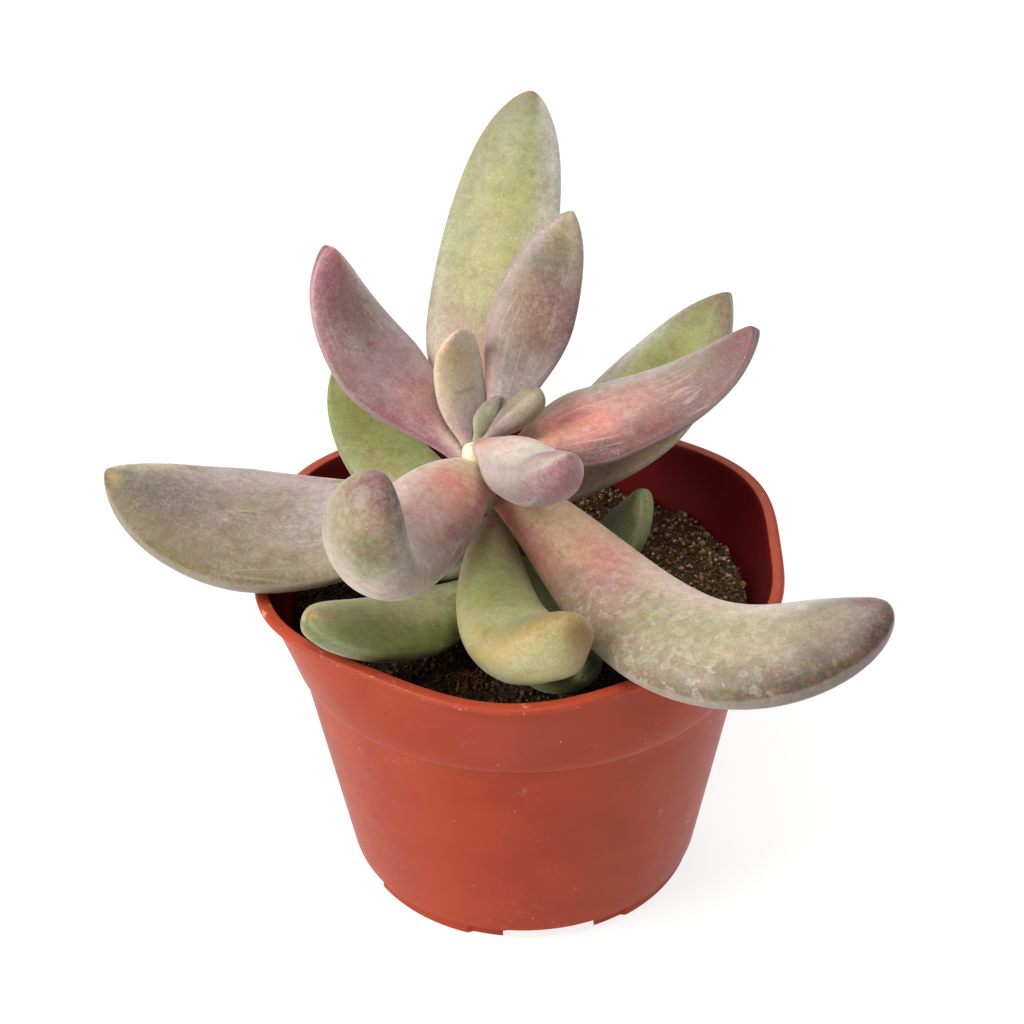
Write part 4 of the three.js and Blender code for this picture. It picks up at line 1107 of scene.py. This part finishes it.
# %% [markdown]
# The crumbs and grains are small faceted stones, made once in a few shapes and copied some thousands of
# times. Each copy is turned and sized by a fixed draw of random numbers, so the same soil comes out every
# time. Small ones come up more often than large ones, and those on the right are paler: that is painted
# light, for the light that falls on the right side of the soil.

# %% Crumbs and grit
STEM_CLEARANCE = 3.9
rng = np.random.default_rng(5)


def stone_shape(seed, flat):
    """One faceted crumb about 1 mm in radius: a small ball of few faces, pushed about by noise."""
    let_go()
    bpy.ops.mesh.primitive_ico_sphere_add(subdivisions=1, radius=1, location=(0, 0, 0))
    stone = bpy.context.object
    points = points_of(stone)
    push = np.array([1 + 0.75 * noise.noise(Vector(p) * 1.7 + Vector((seed, 0, 0))) for p in points])
    points = points * push[:, None] * np.array([1, 0.85, flat])
    faces = np.array([list(p.vertices) for p in stone.data.polygons])
    bpy.data.objects.remove(stone)
    return points, faces


def painted_light_right(x, y):
    """How much painted light lifts the soil's tone: 0 on the left, 1 on the right."""
    return smooth_step(x + 0.3 * y, 2, 30)


def scatter(shapes, count, low, high, sink):
    """Many copies of a few shapes, sunk in the soil's top. Each is its points, its faces and its tone."""
    copies = []
    while len(copies) < count:
        angle, reach = rng.random() * 2 * np.pi, rng.random() ** 0.5 * (plug_radius - 0.3)
        size = low * (high / low) ** (rng.random() ** 2)
        x, y = reach * np.cos(angle), reach * np.sin(angle)
        spin = Matrix.Rotation(rng.random() * 6.3, 3, "X") @ Matrix.Rotation(rng.random() * 6.3, 3, "Z")
        # Painted light: crumbs further right are given a paler tone.
        tone = 0.08 + 0.6 * rng.random() ** 1.3 + 0.32 * float(painted_light_right(x, y))
        shape, faces = shapes[int(rng.random() * len(shapes))]
        if math.hypot(x - STEM_FOOT[0], y - STEM_FOOT[1]) < STEM_CLEARANCE:
            continue
        lift = float(soil_top(x, y)) - size * sink
        copies.append((shape @ np.array(spin).T * size + np.array([x, y, lift]), faces, tone))
    return copies


def scattered_piece(name, copies):
    """One piece from many copies, with the tone of each kept for its material."""
    starts = np.cumsum([0] + [len(points) for points, _, _ in copies])
    points = np.vstack([points for points, _, _ in copies])
    faces = np.vstack([faces + start for (_, faces, _), start in zip(copies, starts)])
    mesh = bpy.data.meshes.new(name)
    mesh.from_pydata(lobed(points).tolist(), [], faces.tolist())
    piece = bpy.data.objects.new(name, mesh)
    bpy.context.scene.collection.objects.link(piece)
    mark(piece, "tone", np.concatenate([np.full(len(points), tone) for points, _, tone in copies]))
    to_place(piece)
    return piece


crumb_shapes = [stone_shape(k * 3.7, 0.7 + 0.1 * (k % 3)) for k in range(8)]
fine_shapes = [stone_shape(k * 2.3, 0.8) for k in range(4)]
crumbs = scattered_piece("soil_crumbs", scatter(crumb_shapes, 5200, 0.2, 0.8, -0.05))
fines = scattered_piece("soil_fines", scatter(fine_shapes, 9000, 0.16, 0.5, -0.7))
grit = scattered_piece("soil_grit", scatter(crumb_shapes, 380, 0.22, 0.62, -0.2))
print("faces:", [(p.name, len(p.data.polygons)) for p in (crumbs, fines, grit)])

# %% [markdown]
# In two places brown coconut fibre has gathered in a small heap. A fibre is one of the fine shapes, drawn
# out long and thin, and laid nearly flat.

# %% Coir
COIR_LUMPS = ((-9.7, -25.8, 3.4, 150), (-38.0, -7.5, 1.9, 40))


def coir():
    """Short brown fibres, heaped in a few lumps. A lump is its middle, how far it spreads, and its count."""
    copies = []
    for middle_x, middle_y, spread, count in COIR_LUMPS:
        for _ in range(count):
            x, y = middle_x + rng.normal() * spread * 0.5, middle_y + rng.normal() * spread * 0.35
            shape, faces = fine_shapes[int(rng.random() * len(fine_shapes))]
            length = 0.5 + 0.8 * rng.random()
            tilt = Matrix.Rotation(rng.random() * 6.3, 3, "Z") @ Matrix.Rotation(rng.normal() * 0.5, 3, "Y")
            heap = spread * 0.35 * math.exp(-((x - middle_x) ** 2 + (y - middle_y) ** 2) / spread ** 2)
            lift = float(soil_top(x, y)) + 0.3 + heap * rng.random()
            fibre = shape * (length, 0.22, 0.2) @ np.array(tilt).T + np.array([x, y, lift])
            copies.append((fibre, faces, rng.random()))
    return copies


coir_fibres = scattered_piece("soil_coir", coir())
print("coir faces:", len(coir_fibres.data.polygons))

# %% [markdown]
# Damp peat runs from nearly black to warm brown, and it is paler on the right, where light is painted in.
# The grit is tan, rust or almost white.

# %% Soil finish
PEAT_TONES = [(0, "#1b130d"), (0.5, "#3a2a1c"), (1, "#6d5438")]
CRUMB_TONES = [(0, "#1c130c"), (0.3, "#3a2919"), (0.6, "#6d4f30"), (0.85, "#a5814e"), (1, "#e6ca92")]
GRIT_TONES = [(0, "#4e3a22"), (0.4, "#7d6138"), (0.75, "#a98a55"), (1, "#dcc491")]
COIR_TONES = [(0, "#4a2a16"), (0.6, "#7d4c28"), (1, "#a87442")]


def earth(name, stops, wet, grain_mm=0.5):
    material, tree, place = new_material(name)
    tone = add_node(tree, "Attribute", attribute_name="tone").outputs["Fac"]
    shade = ramp(tree, tone, stops, "LINEAR")
    shade = paint(tree, shade, patchy(tree, place, 0.35, 0.7, 3, 5, 0.7), 0.4, wet)
    shade = paint(tree, shade, patchy(tree, place, 0.45, 0.7, grain_mm, 3, 0.7), 0.35, "#6a5138")
    surface(tree, shade, 0.85, [(clouds(tree, place, 0.4, 4, 0.7), 0.25)], {"Specular IOR Level": 0.25})
    return material


soil_points = (points_of(soil) - np.array(POT_AXIS)) / MM
# Painted light: the plug too is paler towards the right.
mark(soil, "tone", 0.2 + 0.3 * painted_light_right(soil_points[:, 0], soil_points[:, 1]))
peat = earth("dark_peat", PEAT_TONES, "#17100b")
crumb_finish = earth("peat_crumbs", CRUMB_TONES, "#2a1d13")
grit_finish = earth("tan_grit", GRIT_TONES, "#5f452a", 0.3)
coir_finish = earth("coir_fibre", COIR_TONES, "#331c0e", 0.3)
finish_piece(soil, "soil_plug", peat, ["soil"])
finish_piece(crumbs, "soil_crumbs", crumb_finish)
finish_piece(fines, "soil_fines", crumb_finish)
finish_piece(grit, "soil_grit", grit_finish)
finish_piece(coir_fibres, "soil_coir", coir_finish)
print("earth finishes:", [m.name for m in (peat, crumb_finish, grit_finish, coir_finish)])
